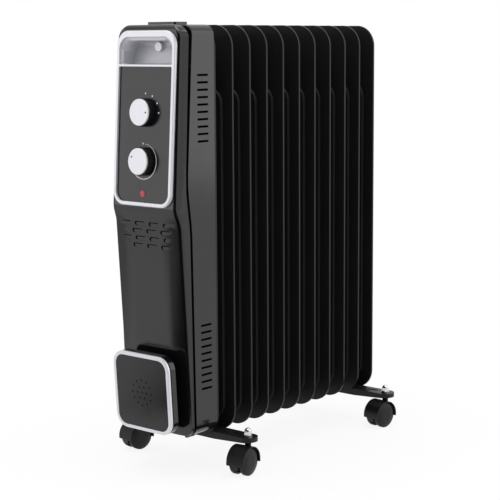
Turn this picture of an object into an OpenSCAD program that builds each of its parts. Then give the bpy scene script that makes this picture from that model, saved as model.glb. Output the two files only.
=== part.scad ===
// Oil filled radiator heater.
// Eleven pressed steel fins are welded into one oil vessel on two collectors. A moulded control
// housing stands in front of the first fin, with a cord winder below it, and two pressed foot
// brackets carry four hooded twin wheel casters.
// Millimetres. Z is up, the control panel faces -Y, and the origin is on the floor in the middle.

/* [Fins] */
// Width of one fin panel
fin_w = 130; // [124:1:136]
// Height of one fin panel
fin_h = 580; // [560:1:600]
// Distance from one fin to the next
fin_pitch = 37; // [36:0.5:42]
// Corner radius of a fin panel
fin_corner = 32; // [26:1:36]
// Thickness of the two welded sheets at the rim
rim_t = 1.8; // [1.4:0.1:2.4]
// Thickness of the folded hem along the edge
hem_t = 3; // [2.6:0.1:3.4]
// Width of the folded hem
hem_w = 3; // [2:0.5:5]
// Width of the pressed oil channel field
field_w = 94; // [88:1:98]
// Height of the channel field above the rim on each face
field_rise = 3.4; // [2.6:0.1:3.8]
// How far the field's pressed edge runs in as it rises
field_run = 1.5; // [1:0.1:3]
// Distance from the panel's bottom edge to the channel field
field_foot = 16; // [12:1:20]
// Distance from the panel's top edge to the shoulder of the channel field
field_shoulder = 88; // [80:1:96]
// Distance from the panel's top and bottom edges to the collectors
collector_inset = 55; // [52:1:58]
// Radius of the collector necks between two fins
neck_r = 20; // [19:0.5:21]
// Radius of the oil way through the collectors
oil_r = 15; // [14:0.5:16]

/* [Casters and foot brackets] */
// Radius of a caster wheel
wheel_r = 20; // [18:0.5:24]
// Thickness of a caster wheel
wheel_t = 9; // [8:0.5:11]
// Width of the web between the two wheels of a caster
web_t = 9.6; // [9:0.2:12]
// Thickness of the hood over the wheels
hood_t = 1.4; // [1:0.1:2]
// Distance from a caster's stem back to its axle
trail = 12; // [10:0.5:14]
// Radius of the axle
axle_r = 2.5; // [2:0.1:3]
// Radius of the stem
stem_r = 3; // [2.5:0.1:3.4]
// Distance from the middle of the heater to a caster's stem
stem_x = 105; // [98:1:112]
// How far the casters are turned in the rest pose
swivel = 7; // [0:1:15]
// Width of a foot bracket
bracket_w = 28; // [26:0.5:30]
// Height of the bracket's flanges in the middle
bracket_h = 10.5; // [9:0.5:12]
// Height of the bracket's flanges at its ends
bracket_tip_h = 6.5; // [5.5:0.5:8]
// Sheet thickness of the brackets
bracket_t = 2; // [1.6:0.1:2.5]
// How far the fins hang below the top of the brackets
fin_drop = 5; // [2:0.5:8]

/* [Housing] */
// Width of the control housing at its parting line
housing_w = 130; // [128:1:134]
// Width of the front cover across its face
face_w = 118; // [116:1:120]
// How far the housing's bottom edge lies above the fins' bottom edge
housing_lift = 10; // [6:1:14]
// Wall thickness of the two covers
wall = 2.5; // [2:0.1:3]
// Corner radius of the covers seen from the front
cover_corner = 15; // [12:1:18]
// Corner radius of the front cover's upright edges
edge_r = 8; // [5:0.5:9]
// How far the cover's lower face falls away towards its sides
crown = 3; // [1:0.5:4]
// Open shadow gap between the two covers
shadow_gap = 4.5; // [3:0.5:6]
// Length of a louvre slot in the side
louvre_l = 22; // [18:1:26]
// Height of a louvre slot
louvre_h = 3; // [1.6:0.1:4]
// Distance from one louvre to the next
louvre_pitch = 10; // [8:0.5:11]
// Louvres in each of the two groups
louvre_count = 10; // [6:1:10]

/* [Control panel] */
// Backward lean of the control panel
lean = 3.6; // [2:0.2:5]
// Width of the silver frame
frame_w = 111.4; // [108:0.2:112]
// Height of the silver frame
frame_h = 239.5; // [234:0.5:241]
// Width of the frame's band
frame_band = 5; // [4:0.5:6]
// Width of the frame's band above the handle recess
top_band = 8.5; // [7:0.5:9]
// Depth of the frame
frame_t = 4.5; // [3.5:0.5:6]
// Height of the handle recess
grip_h = 33; // [28:1:34]
// Depth of the handle recess
grip_d = 24; // [18:1:26]
// Diameter of the two knobs
knob_d = 39; // [34:1:42]
// Height of the knobs
knob_h = 11.5; // [9:0.5:14]
// Grip grooves around a knob
knob_grooves = 36; // [24:2:40]
// Height of the switch knob above the frame's bottom edge
switch_up = 128.5; // [122:0.5:134]
// Height of the thermostat knob above the frame's bottom edge
thermostat_up = 61.5; // [54:0.5:64]
// Height of the indicator lamp above the frame's bottom edge
lamp_up = 17; // [15:0.5:20]
// Radius of the knob shafts
shaft_r = 3; // [2.5:0.1:3.5]

/* [Cord winder] */
// Width of the winder plate
winder_w = 108; // [100:1:112]
// Height of the winder plate
winder_h = 112; // [104:1:114]
// Corner radius of the winder plate
winder_corner = 20; // [14:1:24]
// Room for the cord between the cover and the winder plate
cord_room = 9.2; // [8.6:0.2:12]
// Thickness of the winder plate behind its ring
winder_t = 8; // [6:0.5:10]
// Thickness of the silver ring on the winder
ring_t = 4; // [3:0.5:5]
// Height of the winder's bottom edge above the fins' bottom edge
winder_lift = 17; // [16:1:24]

/* [Hidden] */

fin_count = 11;
$fn = 64;
cut = 1;              // overshoot of a cutting shape
running = 0.05;       // radial clearance of a shaft in its bore
loose = 0.3;          // clearance of a piece that lies in a pocket
seat = 0.2;           // clearance under a piece that is clamped down

// Heights
wheel_clear = 0.6;    // between a wheel's tread and its hood
hood_r = wheel_r + wheel_clear + hood_t;
hood_gap = 0.5;       // between a hood and the bracket over it
bracket_z = wheel_r + hood_r + hood_gap + bracket_h;
fin_z = bracket_z - fin_drop;
collector_low = fin_z + collector_inset;
collector_high = fin_z + fin_h - collector_inset;
housing_z = fin_z + housing_lift;
housing_top = fin_z + fin_h;
frame_drop = 8;       // from the housing's top to the frame's top
frame_z = housing_top - frame_drop - frame_h * cos(lean);
top_cap_t = 4;

// Reach is the distance forward from the first fin's mid plane
fin_half = rim_t / 2 + field_rise;
flare = 4;                                       // flare of a collector's boss into its panel
boss_land = 0.5;                                 // straight end of the first fin's front bosses
back_wall_reach = fin_half + flare + boss_land;
part_top = 44;                                   // parting line at the top of the rear cover
part_rise = 12;                                  // how far it comes forward at the bulge
part_low = 48.5;                                 // parting line below the bulge
part_foot = 44;                                  // parting line at the bottom
bulge_z = housing_top - 210;                     // height of the bulge
bulge_fall = 85;                                 // height over which the bulge runs out
kink = 30;                                       // height over which the panel runs back into the face
face_top = part_top + 18.5;
face_frame = face_top + frame_h * sin(lean);     // cover's face at the frame's bottom edge
face_low = face_frame - 4;                       // cover's face below the control panel
face_foot = face_frame - 22.5;                   // cover's face at the bottom
low_lean = atan((face_low - face_foot) / (frame_z - kink - housing_z));

// The row is centred between the winder's face and the last fin's end boss
winder_z = fin_z + winder_lift;
spool_step = 2;                                  // groove between the winder plate and its ring
ring_band = 5;
ring_up = cord_room + winder_t + spool_step;     // back of the ring above the cover's lower face
end_boss = 8;                                    // collector end beyond the last fin
front_reach = face_at(winder_z) + winder_h * sin(low_lean) + (ring_up + ring_t) * cos(low_lean);
rear_reach = (fin_count - 1) * fin_pitch + fin_half + end_boss;
fin0_y = (front_reach - rear_reach) / 2;

function fin_y(i) = fin0_y + i * fin_pitch;
function ease(t) = (1 - cos(180 * max(0, min(1, t)))) / 2;
function mix(a, b, t) = a + (b - a) * t;

// Parting line of the covers at height z
function part_at(z) =
  z > bulge_z ? mix(part_top + part_rise, part_top, (z - bulge_z) / (housing_top - bulge_z))
  : z > bulge_z - bulge_fall
    ? mix(part_low, part_top + part_rise, ease((z - bulge_z + bulge_fall) / bulge_fall))
    : mix(part_foot, part_low, (z - housing_z) / (bulge_z - bulge_fall - housing_z));

// Front face of the front cover at height z
function face_at(z) =
  z > frame_z ? face_frame - (z - frame_z) * tan(lean)
  : z > frame_z - kink ? mix(face_low, face_frame, ease((z - frame_z + kink) / kink))
    : mix(face_foot, face_low, (z - housing_z) / (frame_z - kink - housing_z));

bracket_rows = [0.5, fin_count - 1.5];
corners = [[1, 0], [-1, 0], [1, 1], [-1, 1]];    // side and row of the four casters

black = [0.05, 0.05, 0.055];
grey = [0.2, 0.2, 0.21];
silver = [0.82, 0.82, 0.84];
steel = [0.7, 0.7, 0.72];
rubber = [0.1, 0.1, 0.1];

// ---------- shared shapes ----------

// Rectangle w by h with round corners, standing on y = 0
module rounded(w, h, r) {
  translate([-w / 2, r]) square([w, h - 2 * r]);
  translate([-w / 2 + r, 0]) square([w - 2 * r, h]);
  for (x = [-1, 1], y = [r, h - r])
    translate([x * (w / 2 - r), y]) circle(r);
}

// Rectangle with one radius at the top corners and another at the bottom corners
module rounded_two(w, h, top, bottom) {
  translate([-w / 2, bottom]) square([w, h - top - bottom]);
  translate([-w / 2 + top, bottom]) square([w - 2 * top, h - bottom]);
  translate([-w / 2 + bottom, 0]) square([w - 2 * bottom, h - top]);
  for (x = [-1, 1]) {
    translate([x * (w / 2 - top), h - top]) circle(top);
    translate([x * (w / 2 - bottom), bottom]) circle(bottom);
  }
}

// Slot of length l and height h along x, centred
module slot(l, h) {
  square([l - h, h], center = true);
  for (x = [-1, 1]) translate([x * (l - h) / 2, 0]) circle(h / 2);
}

// A flat outline stood up in the XZ plane and given a thickness along Y, centred
module upright(t) rotate([90, 0, 0]) linear_extrude(t, center = true) children();

// A side view outline, given as [y, z], drawn across the width
module across(w) rotate([90, 0, 90]) linear_extrude(w, center = true) children();

// Cylinder along Y from y1 to y2
module rod_y(r, y1, y2) translate([0, y1, 0]) rotate([-90, 0, 0]) cylinder(r = r, h = y2 - y1);

// Frame of the control panel: x across, y up the panel from the silver frame's bottom edge, z out
module on_panel()
  translate([0, fin0_y - face_frame, frame_z]) rotate([90 - lean, 0, 0]) children();

// Frame of the winder: x across, y up the cover's lower face, z out
module on_winder()
  translate([0, fin0_y - face_at(winder_z), winder_z]) rotate([90 + low_lean, 0, 0]) children();

// ---------- fins ----------

field_r = 22;                                    // corner radius of the channel field
crest_w = field_w - 30;                          // the field's narrow crest above its shoulder
crest_r = 26;
crest_overlap = 60;                              // how far the crest runs down into the field
crest_inset = 20;                                // from the panel's top edge to the crest
channel_groove = 7;                              // groove between two oil channels
channel_end = 65;                                // from the field's ends to the grooves

// Raised field with sloping sides from foot to head, on both faces of a panel
module field_pair(w, foot, head, r) {
  h = head - foot;
  for (side = [-1, 1])
    translate([0, 0, foot + h / 2]) rotate([90 * side, 0, 0])
      linear_extrude(fin_half, slices = 1, scale = [1 - 2 * field_run / w, 1 - 2 * field_run / h])
        translate([0, -h / 2]) rounded(w, h, r, $fn = 24);
}

// Half of a collector joint: a pressed boss that flares into the panel
module boss(length)
  rotate([90, 0, 0]) rotate_extrude()
    polygon([[0, 0], [neck_r + flare, 0], [neck_r + flare, fin_half], [neck_r + 1, fin_half + flare / 2],
             [neck_r, fin_half + flare], [neck_r, length], [0, length]]);

// i counts from 0 at the control housing
module fin(i) {
  reach = fin_pitch / 2;
  groove_x = field_w / 4;
  groove_h = fin_h - field_foot - field_shoulder - 2 * channel_end;
  first = i == 0;
  last = i == fin_count - 1;
  color(black) translate([0, fin_y(i), fin_z]) difference() {
    union() {
      upright(rim_t) rounded(fin_w, fin_h, fin_corner);
      upright(hem_t) difference() {
        rounded(fin_w, fin_h, fin_corner);
        translate([0, hem_w]) rounded(fin_w - 2 * hem_w, fin_h - 2 * hem_w, fin_corner - hem_w);
      }
      field_pair(field_w, field_foot, fin_h - field_shoulder, field_r);
      field_pair(crest_w, fin_h - field_shoulder - crest_overlap, fin_h - crest_inset, crest_r);
      for (z = [collector_inset, fin_h - collector_inset]) translate([0, 0, z]) {
        boss(first ? back_wall_reach : reach);
        mirror([0, 1, 0]) boss(last ? fin_half + end_boss : reach);
      }
    }
    for (z = [collector_inset, fin_h - collector_inset])
      translate([0, 0, z]) rod_y(oil_r, -fin_half - (first ? 0 : reach), last ? 0 : reach);
    if (first) {
      translate([0, 0, collector_inset]) rod_y(element_thread_r, -back_wall_reach - cut, 0);
      translate([0, 0, fin_h - collector_inset]) rod_y(plug_thread_r, -back_wall_reach - cut, 0);
    }
    for (side = [-1, 1], x = [-groove_x, 0, groove_x])
      translate([x, side * fin_half, field_foot + channel_end + groove_h / 2])
        upright(1.2 * field_rise) rotate(90) slot(groove_h, channel_groove);
  }
}

// ---------- oil circuit fittings ----------

element_thread_r = 13;
element_hex = 42;                                // across the flats of the element's hexagon
hex_h = 7;                                       // and its height
plug_thread_r = 6;
plug_hex = 24;
plug_hex_h = 6;
thread_in = 7;                                   // how far the fittings' threads enter the first fin
tube_x = 6.5;                                    // the two heating tubes, either side of the middle
tube_z = 5;                                      // radius of each tube's bend

module hexagon(across_flats) circle(d = across_flats / cos(30), $fn = 6);

// Front face of the rear cover's back wall, where the fittings clamp it to the first fin
fitting_y = fin0_y - back_wall_reach - wall;

module oil_filler_plug() {
  color(steel) translate([0, fitting_y, collector_high]) {
    translate([0, -plug_hex_h / 2, 0]) upright(plug_hex_h) hexagon(plug_hex);
    rod_y(plug_thread_r - running, 0, wall + thread_in);
  }
}

// Two heating tubes, each bent back on itself inside the lower collector
module heating_element() {
  tube_r = 3.2;
  tube_l = (fin_count - 2) * fin_pitch;
  color(steel) translate([0, fitting_y, collector_low]) {
    translate([0, -hex_h / 2, 0]) upright(hex_h) hexagon(element_hex);
    rod_y(element_thread_r - running, 0, wall + thread_in);
    for (x = [-1, 1]) translate([x * tube_x, 0, 0]) {
      for (z = [-1, 1]) translate([0, 0, z * tube_z]) rod_y(tube_r, wall + thread_in - cut, tube_l);
      translate([0, tube_l, 0]) rotate([0, 90, 0]) rotate_extrude(angle = 180)
        translate([tube_z, 0]) circle(tube_r);
    }
  }
}

module element_terminals()
  color(steel) translate([0, fitting_y - hex_h, collector_low])
    for (x = [-tube_x, tube_x], z = [-tube_z, tube_z]) translate([x, 0, z]) rod_y(1.6, -12, 0);

// ---------- covers ----------

top_soft = 6;                                    // round of the cover's face at its top
foot_soft = 2;                                   // and at its bottom

// How far an outline is set in at height z by its round top and bottom corners
function corner_inset(z, low, high, r) =
  z < low + r ? r - sqrt(max(0, r * r - pow(low + r - z, 2)))
  : z > high - r ? r - sqrt(max(0, r * r - pow(z - high + r, 2))) : 0;

// Heights of the loft's sections: round bottom, lower face, kink, panel and round top
function loft_levels(low, high, r) = concat(
  [for (a = [0:15:90]) low + r - r * cos(a)],
  [for (k = [1:2]) mix(low + r, bulge_z - bulge_fall, k / 2)],
  [for (k = [1:5]) mix(bulge_z - bulge_fall, frame_z - kink, k / 5) ],
  [for (k = [1:6]) mix(frame_z - kink, frame_z, k / 6)],
  [for (k = [1:3]) mix(frame_z, bulge_z + 30, k / 3)],
  [for (a = [0:15:90]) high - r + r * sin(a)]);

crown_flat = 30;                                 // half width of the lower face's flat middle
least_round = 0.5;                               // least radius of the cover's upright edges
least_depth = 0.2;                               // least depth of its sides and of its hollow's sides

// Depth of the front cover at height z, and the crown, draft and edge radius that fit in it
function depth_at(z) = face_at(z) - part_at(z) - shadow_gap;
function draft_at(z) = min((housing_w - face_w) / 2, 0.65 * depth_at(z));
function edge_at(z, fall) =
  max(least_round, min(edge_r, depth_at(z) - fall - crown_at(z) - least_round));

// The cover's face is flat on the control panel and crowned below it
function crown_at(z) = min(crown, depth_at(z) / 4) * ease((frame_z - z) / kink);

// How far the face is set back at height z by its round top and bottom; the hollow's foot is square
function fall_at(z, low, high, hollow) =
  z > bulge_z ? corner_inset(z, low, high, top_soft)
  : hollow ? 0 : min(corner_inset(z, low, high, foot_soft), 0.4 * depth_at(z));

// One section of the front cover at height z, set in by t: open ring from rear left to rear right.
// With back above 0 the sides run on behind the parting line.
function cover_section(z, t, low, high, r, back) =
  let (inset = corner_inset(z, low, high, r) + t,
       fall = fall_at(z, low, high, t > 0),
       round = max(least_round, edge_at(z, fall) - t),
       crown_z = crown_at(z),
       y_part = fin0_y - part_at(z) - shadow_gap,
       y_face = min(fin0_y - face_at(z) + t + fall, y_part - crown_z - round - least_depth),
       rear_x = housing_w / 2 - inset,
       arc_x = rear_x - draft_at(z) - round,
       flat_x = min(crown_flat, arc_x - 10),
       tilt = atan(1.5 * crown_z / (arc_x - flat_x)),
       arc_y = y_face + crown_z + round * cos(tilt),
       arc = [for (k = [0:6]) let (turn = k * (90 - tilt) / 6)
                [arc_x + round * cos(turn), arc_y - round * sin(turn)]],
       half = concat([for (b = back > 0 ? [back] : []) [rear_x, y_part + b]], [[rear_x, y_part]], arc,
                     [[(arc_x + flat_x) / 2, y_face + crown_z / 4], [flat_x, y_face]]))
  concat([for (p = half) [-p[0], p[1], z]],
         [for (k = [len(half) - 1:-1:0]) [half[k][0], half[k][1], z]]);

// The front cover's body lofted through its sections
module cover_loft(t, back) {
  low = housing_z + t;
  high = housing_top - t;
  r = cover_corner - t;
  levels = loft_levels(low, high, r);
  rings = [for (z = levels) cover_section(z, t, low, high, r, back)];
  n = len(rings[0]);
  last = len(rings) - 1;
  front = n / 2 - 4;
  polyhedron(
    points = [for (ring = rings, p = ring) p],
    // each end is a strip of faces from the left half of the ring to its right half, up to one face
    // for the ring's crowned front
    faces = concat(
      [for (k = [0:front - 1]) [k, k + 1, n - 2 - k, n - 1 - k]],
      [[for (k = [front:n - 1 - front]) k]],
      [for (j = [0:last - 1], k = [0:n - 1])
         [j * n + k, (j + 1) * n + k, j * n + (k + 1) % n]],
      [for (j = [0:last - 1], k = [0:n - 1])
         [(j + 1) * n + k, (j + 1) * n + (k + 1) % n, j * n + (k + 1) % n]],
      [for (k = [0:front - 1]) [for (m = [n - 1 - k, n - 2 - k, k + 1, k]) last * n + m]],
      [[for (k = [n - 1 - front:-1:front]) last * n + k]]),
    convexity = 6);
}

window_w = frame_w - 2 * frame_band;
grip_bevel = 4.6;                                // bevel from the frame down to the recess
grip_w = window_w - 2 * grip_bevel;
cup_floor = frame_h - top_band - grip_bevel - grip_h;  // bottom of the recess up the panel
bar_h = 2.6;                                     // silver bar between the recess and the panel
panel_h = cup_floor - bar_h - frame_band;        // height of the dark inlay
cup_t = 2;                                       // wall of the handle cup
cup_fillet = 5;                                  // round between its floor and its back
intake_rows = 4;
intake_drop = 25;                                // from the frame's bottom edge to the first row
intake_pitch = 27;                               // from slot to slot along a row
intake_rise = 10.3;                              // from row to row
intake_l = 20;
intake_h = 6;
intake_d = 1.4;                                  // depth of the slots, which have a closed bottom
grip_top_r = 14;                                 // top corners of the handle recess
grip_low_r = 3;                                  // its bottom corners
grip_way = 8;                                    // depth of the way in for the handle cup
hollow_back = part_top / 4;                      // how far the cover's hollow runs on behind its edge

// Outline of the handle recess on the panel, grown by t
module grip_outline(t) translate([0, cup_floor - t])
  rounded_two(grip_w + 2 * t, grip_h + 2 * t, grip_top_r + t, grip_low_r + t);

module front_cover() {
  color(black) {
    difference() {
      cover_loft(0, 0);
      cover_loft(wall, hollow_back);
      // way in for the handle cup
      on_panel() translate([0, 0, -wall - grip_way]) linear_extrude(wall + grip_way + cut)
        grip_outline(cup_t + loose);
      // shaft and lamp ways
      on_panel() for (up = [switch_up, thermostat_up])
        translate([0, up, -wall - cut]) cylinder(r = bush_r + loose, h = wall + 2 * cut);
      on_panel() translate([0, lamp_up, -wall - cut]) cylinder(r = lamp_r + loose, h = wall + 2 * cut);
      // staggered rows of shallow slots below the control panel
      for (row = [0:intake_rows - 1], k = [-1.5:1.5]) let (z = frame_z - intake_drop - row * intake_rise)
        translate([k * intake_pitch + (row % 2 == 0 ? 1 : -1) * intake_pitch / 10,
                   fin0_y - face_at(z) - intake_l / 2 + intake_d, z])
          upright(intake_l) slot(intake_l, intake_h);
    }
    cover_hooks();
  }
}

hook_x = 46;
hook_w = 10;
hook_t = 2.5;
hook_root = 1.2;                                 // how far a hook is rooted in the front cover
hook_back = part_foot - 8;                       // how far back a hook's upstand stands

// Hooks that reach back under the rear cover and up into slots in its bottom
module cover_hooks() {
  root = part_foot + shadow_gap + hook_root;
  for (x = [-1, 1]) translate([x * hook_x - hook_w / 2, fin0_y - root, housing_z - seat - hook_t]) {
    cube([hook_w, root - hook_back + hook_t, hook_t]);
    cube([hook_w, hook_root, hook_t + seat + wall / 2]);
    translate([0, root - hook_back, 0]) cube([hook_w, hook_t, hook_t + seat + wall + 1]);
  }
}

// Outline of the rear cover seen from the front, set in by t
module rear_outline(t) translate([0, t])
  rounded(housing_w - 2 * t, housing_top - housing_z - 2 * t, cover_corner - t);

// Side view of the space from the fins to a line ahead of the parting line
module side_view(behind, ahead, step = 20) {
  heights = [for (k = [0:step]) mix(housing_z - 10, housing_top + 10, k / step)];
  polygon(concat(
    [[fin0_y - behind, housing_z - 10]],
    [for (z = heights) [fin0_y - part_at(z) - ahead, z]],
    [[fin0_y - behind, housing_top + 10]]));
}

lip_set = 9;                                     // depth of the shadow gap, down to the rear cover's lip
lip_in = 0.6;                                    // how far the lip stands into the front cover
lip_ahead = shadow_gap + lip_in;                 // and ahead of the parting line
lip_root = 3;                                    // web behind the parting line that carries the lip
screw_r = 1.75;
post_r = 5;
post_l = 14;
cap_r = 6.2;                                     // round cap over the long screw's head
cup_screw_up = cup_floor + grip_h - cap_r - 1;
cup_seat_d = grip_d;                             // depth of the long screw's seat in the recess
cup_screw_z = frame_z + cup_screw_up * cos(lean) - cup_seat_d * sin(lean);
cup_screw_y = fin0_y - face_at(cup_screw_z) + cup_seat_d / cos(lean);
head_r = 3.4;
head_h = 2.4;

// The rear cover's outline set in by t, from behind the first fin's plane to ahead of the parting line
module rear_body(t, behind, ahead)
  intersection() {
    translate([0, fin0_y, housing_z]) upright(3 * face_frame) rear_outline(t);
    across(housing_w + 20) side_view(behind, ahead, 36);
  }

// Inside of the rear cover: the hollow behind the lip's web, and the way through the lip
module rear_inside() {
  rear_body(wall, back_wall_reach + wall, -lip_root);
  rear_body(lip_set + wall, back_wall_reach + wall, lip_ahead + cut);
}

module rear_cover() {
  color(grey) difference() {
    union() {
      rear_body(0, hem_t / 2, 0);
      rear_body(lip_set, back_wall_reach, lip_ahead);
    }
    // recess over the first fin, behind the back wall
    translate([0, fin0_y - back_wall_reach / 2, housing_z + wall]) upright(back_wall_reach)
      rounded(housing_w - 2 * wall, housing_top - housing_z - 2 * wall, cover_corner - wall);
    difference() {
      rear_inside();
      // post for the long screw under the handle cup
      translate([0, 0, cup_screw_z]) rod_y(post_r, fitting_y - post_l, fitting_y + cut);
    }
    // ways for the collectors' fittings and the long screw
    translate([0, 0, collector_low]) rod_y(element_thread_r + loose, fitting_y - cut, fin0_y);
    translate([0, 0, collector_high]) rod_y(plug_thread_r + loose, fitting_y - cut, fin0_y);
    translate([0, 0, cup_screw_z]) rod_y(screw_r, fitting_y - post_l - cut, fitting_y + cut);
    // side louvres in two groups
    for (top = [housing_top - 68, housing_z + 156], k = [0:louvre_count - 1])
      translate([0, fin0_y - (top > bulge_z ? part_top - 19 : part_low - 26), top - k * louvre_pitch])
        across(housing_w + 2) slot(louvre_l, louvre_h);
    // ways for the cord bush, the front cover's hooks and the cap's pins
    translate([cord_x, cord_y, housing_z - cut]) cylinder(r = cord_bush_r + loose, h = wall + 2 * cut);
    for (x = [-1, 1]) translate([x * hook_x, fin0_y - hook_back + hook_t / 2, housing_z + wall / 2])
      cube([hook_w + 2 * loose, hook_t + 2 * loose, wall + 2 * cut], center = true);
    for (x = [-1, 1]) translate([x * cap_pin_x, cap_y, housing_top - wall - cut])
      cylinder(r = cap_pin_r + running, h = wall + 2 * cut);
  }
}

// Long screw through the handle cup into the rear cover's post
module cover_screw()
  color(steel) translate([0, cup_screw_y, cup_screw_z]) {
    rod_y(head_r, -head_h, 0);
    rod_y(screw_r - running, -cut, fitting_y - cup_screw_y - 4);
  }

// ---------- control panel ----------

bush_r = shaft_r + 2;
lamp_r = 3.4;
lens_r = 5;
panel_t = 1.5;

frame_top_r = 21;
frame_low_r = 19;

// Openings of the silver frame: the dark inlay and the handle recess
module frame_windows() {
  translate([0, frame_band]) rounded_two(window_w, panel_h, 2, frame_low_r - frame_band);
  translate([0, cup_floor])
    rounded_two(window_w, grip_h + grip_bevel, frame_top_r - frame_band, 2);
}

// Silver frame with a softened front edge
module control_frame() {
  soft = 1;
  color(silver) on_panel() difference() {
    union() {
      linear_extrude(frame_t - soft) rounded_two(frame_w, frame_h, frame_top_r, frame_low_r);
      translate([0, frame_h / 2, frame_t - soft])
        linear_extrude(soft, slices = 1, scale = [1 - 2 * soft / frame_w, 1 - 2 * soft / frame_h])
          translate([0, -frame_h / 2])
            rounded_two(frame_w, frame_h, frame_top_r, frame_low_r, $fn = 48);
    }
    translate([0, 0, -cut]) linear_extrude(frame_t + 2 * cut) frame_windows();
  }
}

// Side profile of the handle recess, grown by t: y up the panel, x inwards
module cup_profile(t)
  offset(r = cup_fillet + t) offset(delta = -cup_fillet)
    polygon([[-30, 0], [grip_d - 5, 0], [grip_d + 4, grip_h], [-30, grip_h]]);

// Body of the handle recess, grown by t
module cup_form(t)
  intersection() {
    translate([0, cup_floor]) rotate([0, 90, 0]) linear_extrude(frame_w, center = true) cup_profile(t);
    translate([0, 0, -grip_d - 10]) linear_extrude(grip_d + 30) grip_outline(t);
  }

flange_t = 1.5;                                  // flange of the handle cup, on the cover's face

// Outline of the handle cup's flange inside the frame
module flange_outline() translate([0, cup_floor + loose])
  rounded_two(window_w - 2 * loose, grip_h + grip_bevel - 2 * loose, frame_top_r - frame_band - loose, 2);

module handle_cup()
  color(silver) difference() {
    union() {
      on_panel() difference() {
        union() {
          intersection() {
            cup_form(cup_t);
            translate([-frame_w, 0, -2 * grip_d]) cube([2 * frame_w, 2 * frame_h, 2 * grip_d]);
          }
          linear_extrude(flange_t) flange_outline();
        }
        cup_form(0);
        // bevel from the frame down to the recess
        hull() {
          translate([0, 0, flange_t]) linear_extrude(cut) flange_outline($fn = 32);
          linear_extrude(0.01) grip_outline(0, $fn = 32);
        }
      }
      // flat seat for the long screw
      translate([0, cup_screw_y, cup_screw_z]) rod_y(cap_r + loose, 0, 6);
    }
    translate([0, cup_screw_y, cup_screw_z]) {
      rod_y(cap_r + loose, -6, 0);
      rod_y(screw_r + loose, -cut, 6 + cut);
    }
  }

// Round cap over the long screw's head
module screw_cap()
  color(silver) translate([0, cup_screw_y, cup_screw_z]) difference() {
    rod_y(cap_r, -head_h - 1.4, 0);
    rod_y(head_r + loose, -head_h - loose, cut);
  }

module control_panel()
  color(grey) on_panel() difference() {
    linear_extrude(panel_t) translate([0, frame_band + loose])
      rounded_two(window_w - 2 * loose, panel_h - 2 * loose, 2, frame_low_r - frame_band);
    for (up = [switch_up, thermostat_up])
      translate([0, up, -cut]) cylinder(r = bush_r + loose, h = panel_t + 2 * cut);
    translate([0, lamp_up, -cut]) cylinder(r = lamp_r + loose, h = panel_t + 2 * cut);
  }

// A control with its body behind the cover and a bush that the shaft turns in
module control_body(w, h, d) {
  difference() {
    union() {
      translate([-w / 2, -h / 2, -wall - d]) cube([w, h, d]);
      translate([0, 0, -wall - cut]) cylinder(r = bush_r, h = wall + cut + panel_t);
    }
    translate([0, 0, -wall - d / 2]) cylinder(r = shaft_r + running, h = d + 10);
  }
}

module heat_switch()
  color(grey) on_panel() translate([0, switch_up, -seat]) control_body(30, 34, 20);

module thermostat()
  color(steel) on_panel() translate([0, thermostat_up, -seat]) control_body(26, 38, 16);

// Knob shaft from inside the control up into the knob
module shaft(depth)
  translate([0, 0, -wall - depth / 2 + knob_gap])
    cylinder(r = shaft_r, h = wall + depth / 2 + panel_t + knob_h - knob_skin - knob_gap - loose);

module switch_shaft() color(steel) on_panel() translate([0, switch_up, 0]) shaft(20);
module thermostat_shaft() color(steel) on_panel() translate([0, thermostat_up, 0]) shaft(16);

knob_gap = 0.5;                                  // between a knob and the panel
knob_skin = 3.5;                                 // from the shaft's bore to the knob's front
disc_d = knob_d - 2.4;
disc_h = 2;
disc_chamfer = 0.7;
disc_set = 1.5;                                  // how far the disc is let into its knob
pointer_in = 5.3;                                // from the disc's edge to its pointer dimple
pointer_r = 1.4;

// Knob with grip grooves around it, standing just clear of the panel
module knob()
  translate([0, 0, panel_t + knob_gap]) difference() {
    union() {
      cylinder(d = knob_d, h = knob_h - 2.5);
      translate([0, 0, knob_h - 2.5]) cylinder(d1 = knob_d, d2 = disc_d + 0.4, h = 1);
    }
    translate([0, 0, -cut]) cylinder(r = shaft_r + running, h = knob_h - knob_skin + cut);
    for (k = [0:knob_grooves - 1]) rotate(k * 360 / knob_grooves)
      translate([knob_d / 2 + 0.3, 0, -cut]) cylinder(r = 0.9, h = knob_h + 2, $fn = 16);
  }

// Silver disc on a knob with a chamfered edge and a pointer dimple at the right
module knob_disc()
  translate([0, 0, panel_t + knob_gap + knob_h - disc_set]) difference() {
    union() {
      cylinder(d = disc_d, h = disc_h - disc_chamfer);
      translate([0, 0, disc_h - disc_chamfer])
        cylinder(d1 = disc_d, d2 = disc_d - 2 * disc_chamfer, h = disc_chamfer);
    }
    translate([disc_d / 2 - pointer_in, 0, disc_h / 2]) cylinder(r = pointer_r, h = disc_h);
  }

thermostat_rest = 153;                           // where the thermostat's pointer stands

module switch_knob() color(black) on_panel() translate([0, switch_up, 0]) knob();
module switch_knob_disc() color(silver) on_panel() translate([0, switch_up, 0]) knob_disc();
module thermostat_knob() color(black) on_panel() translate([0, thermostat_up, 0]) knob();
module thermostat_knob_disc()
  color(silver) on_panel() translate([0, thermostat_up, 0]) rotate(thermostat_rest) knob_disc();

module indicator_lamp() {
  color([0.8, 0.1, 0.08]) on_panel() translate([0, lamp_up, 0]) {
    translate([0, 0, panel_t]) cylinder(r1 = lens_r, r2 = lens_r - 0.8, h = 1.2);
    translate([0, 0, -20]) cylinder(r = lamp_r, h = 20 + panel_t);
  }
}

// ---------- inside the housing ----------

cutout_z = mix(collector_low, collector_high, 0.52);
terminal_z = mix(collector_low, collector_high, 0.25);

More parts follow.
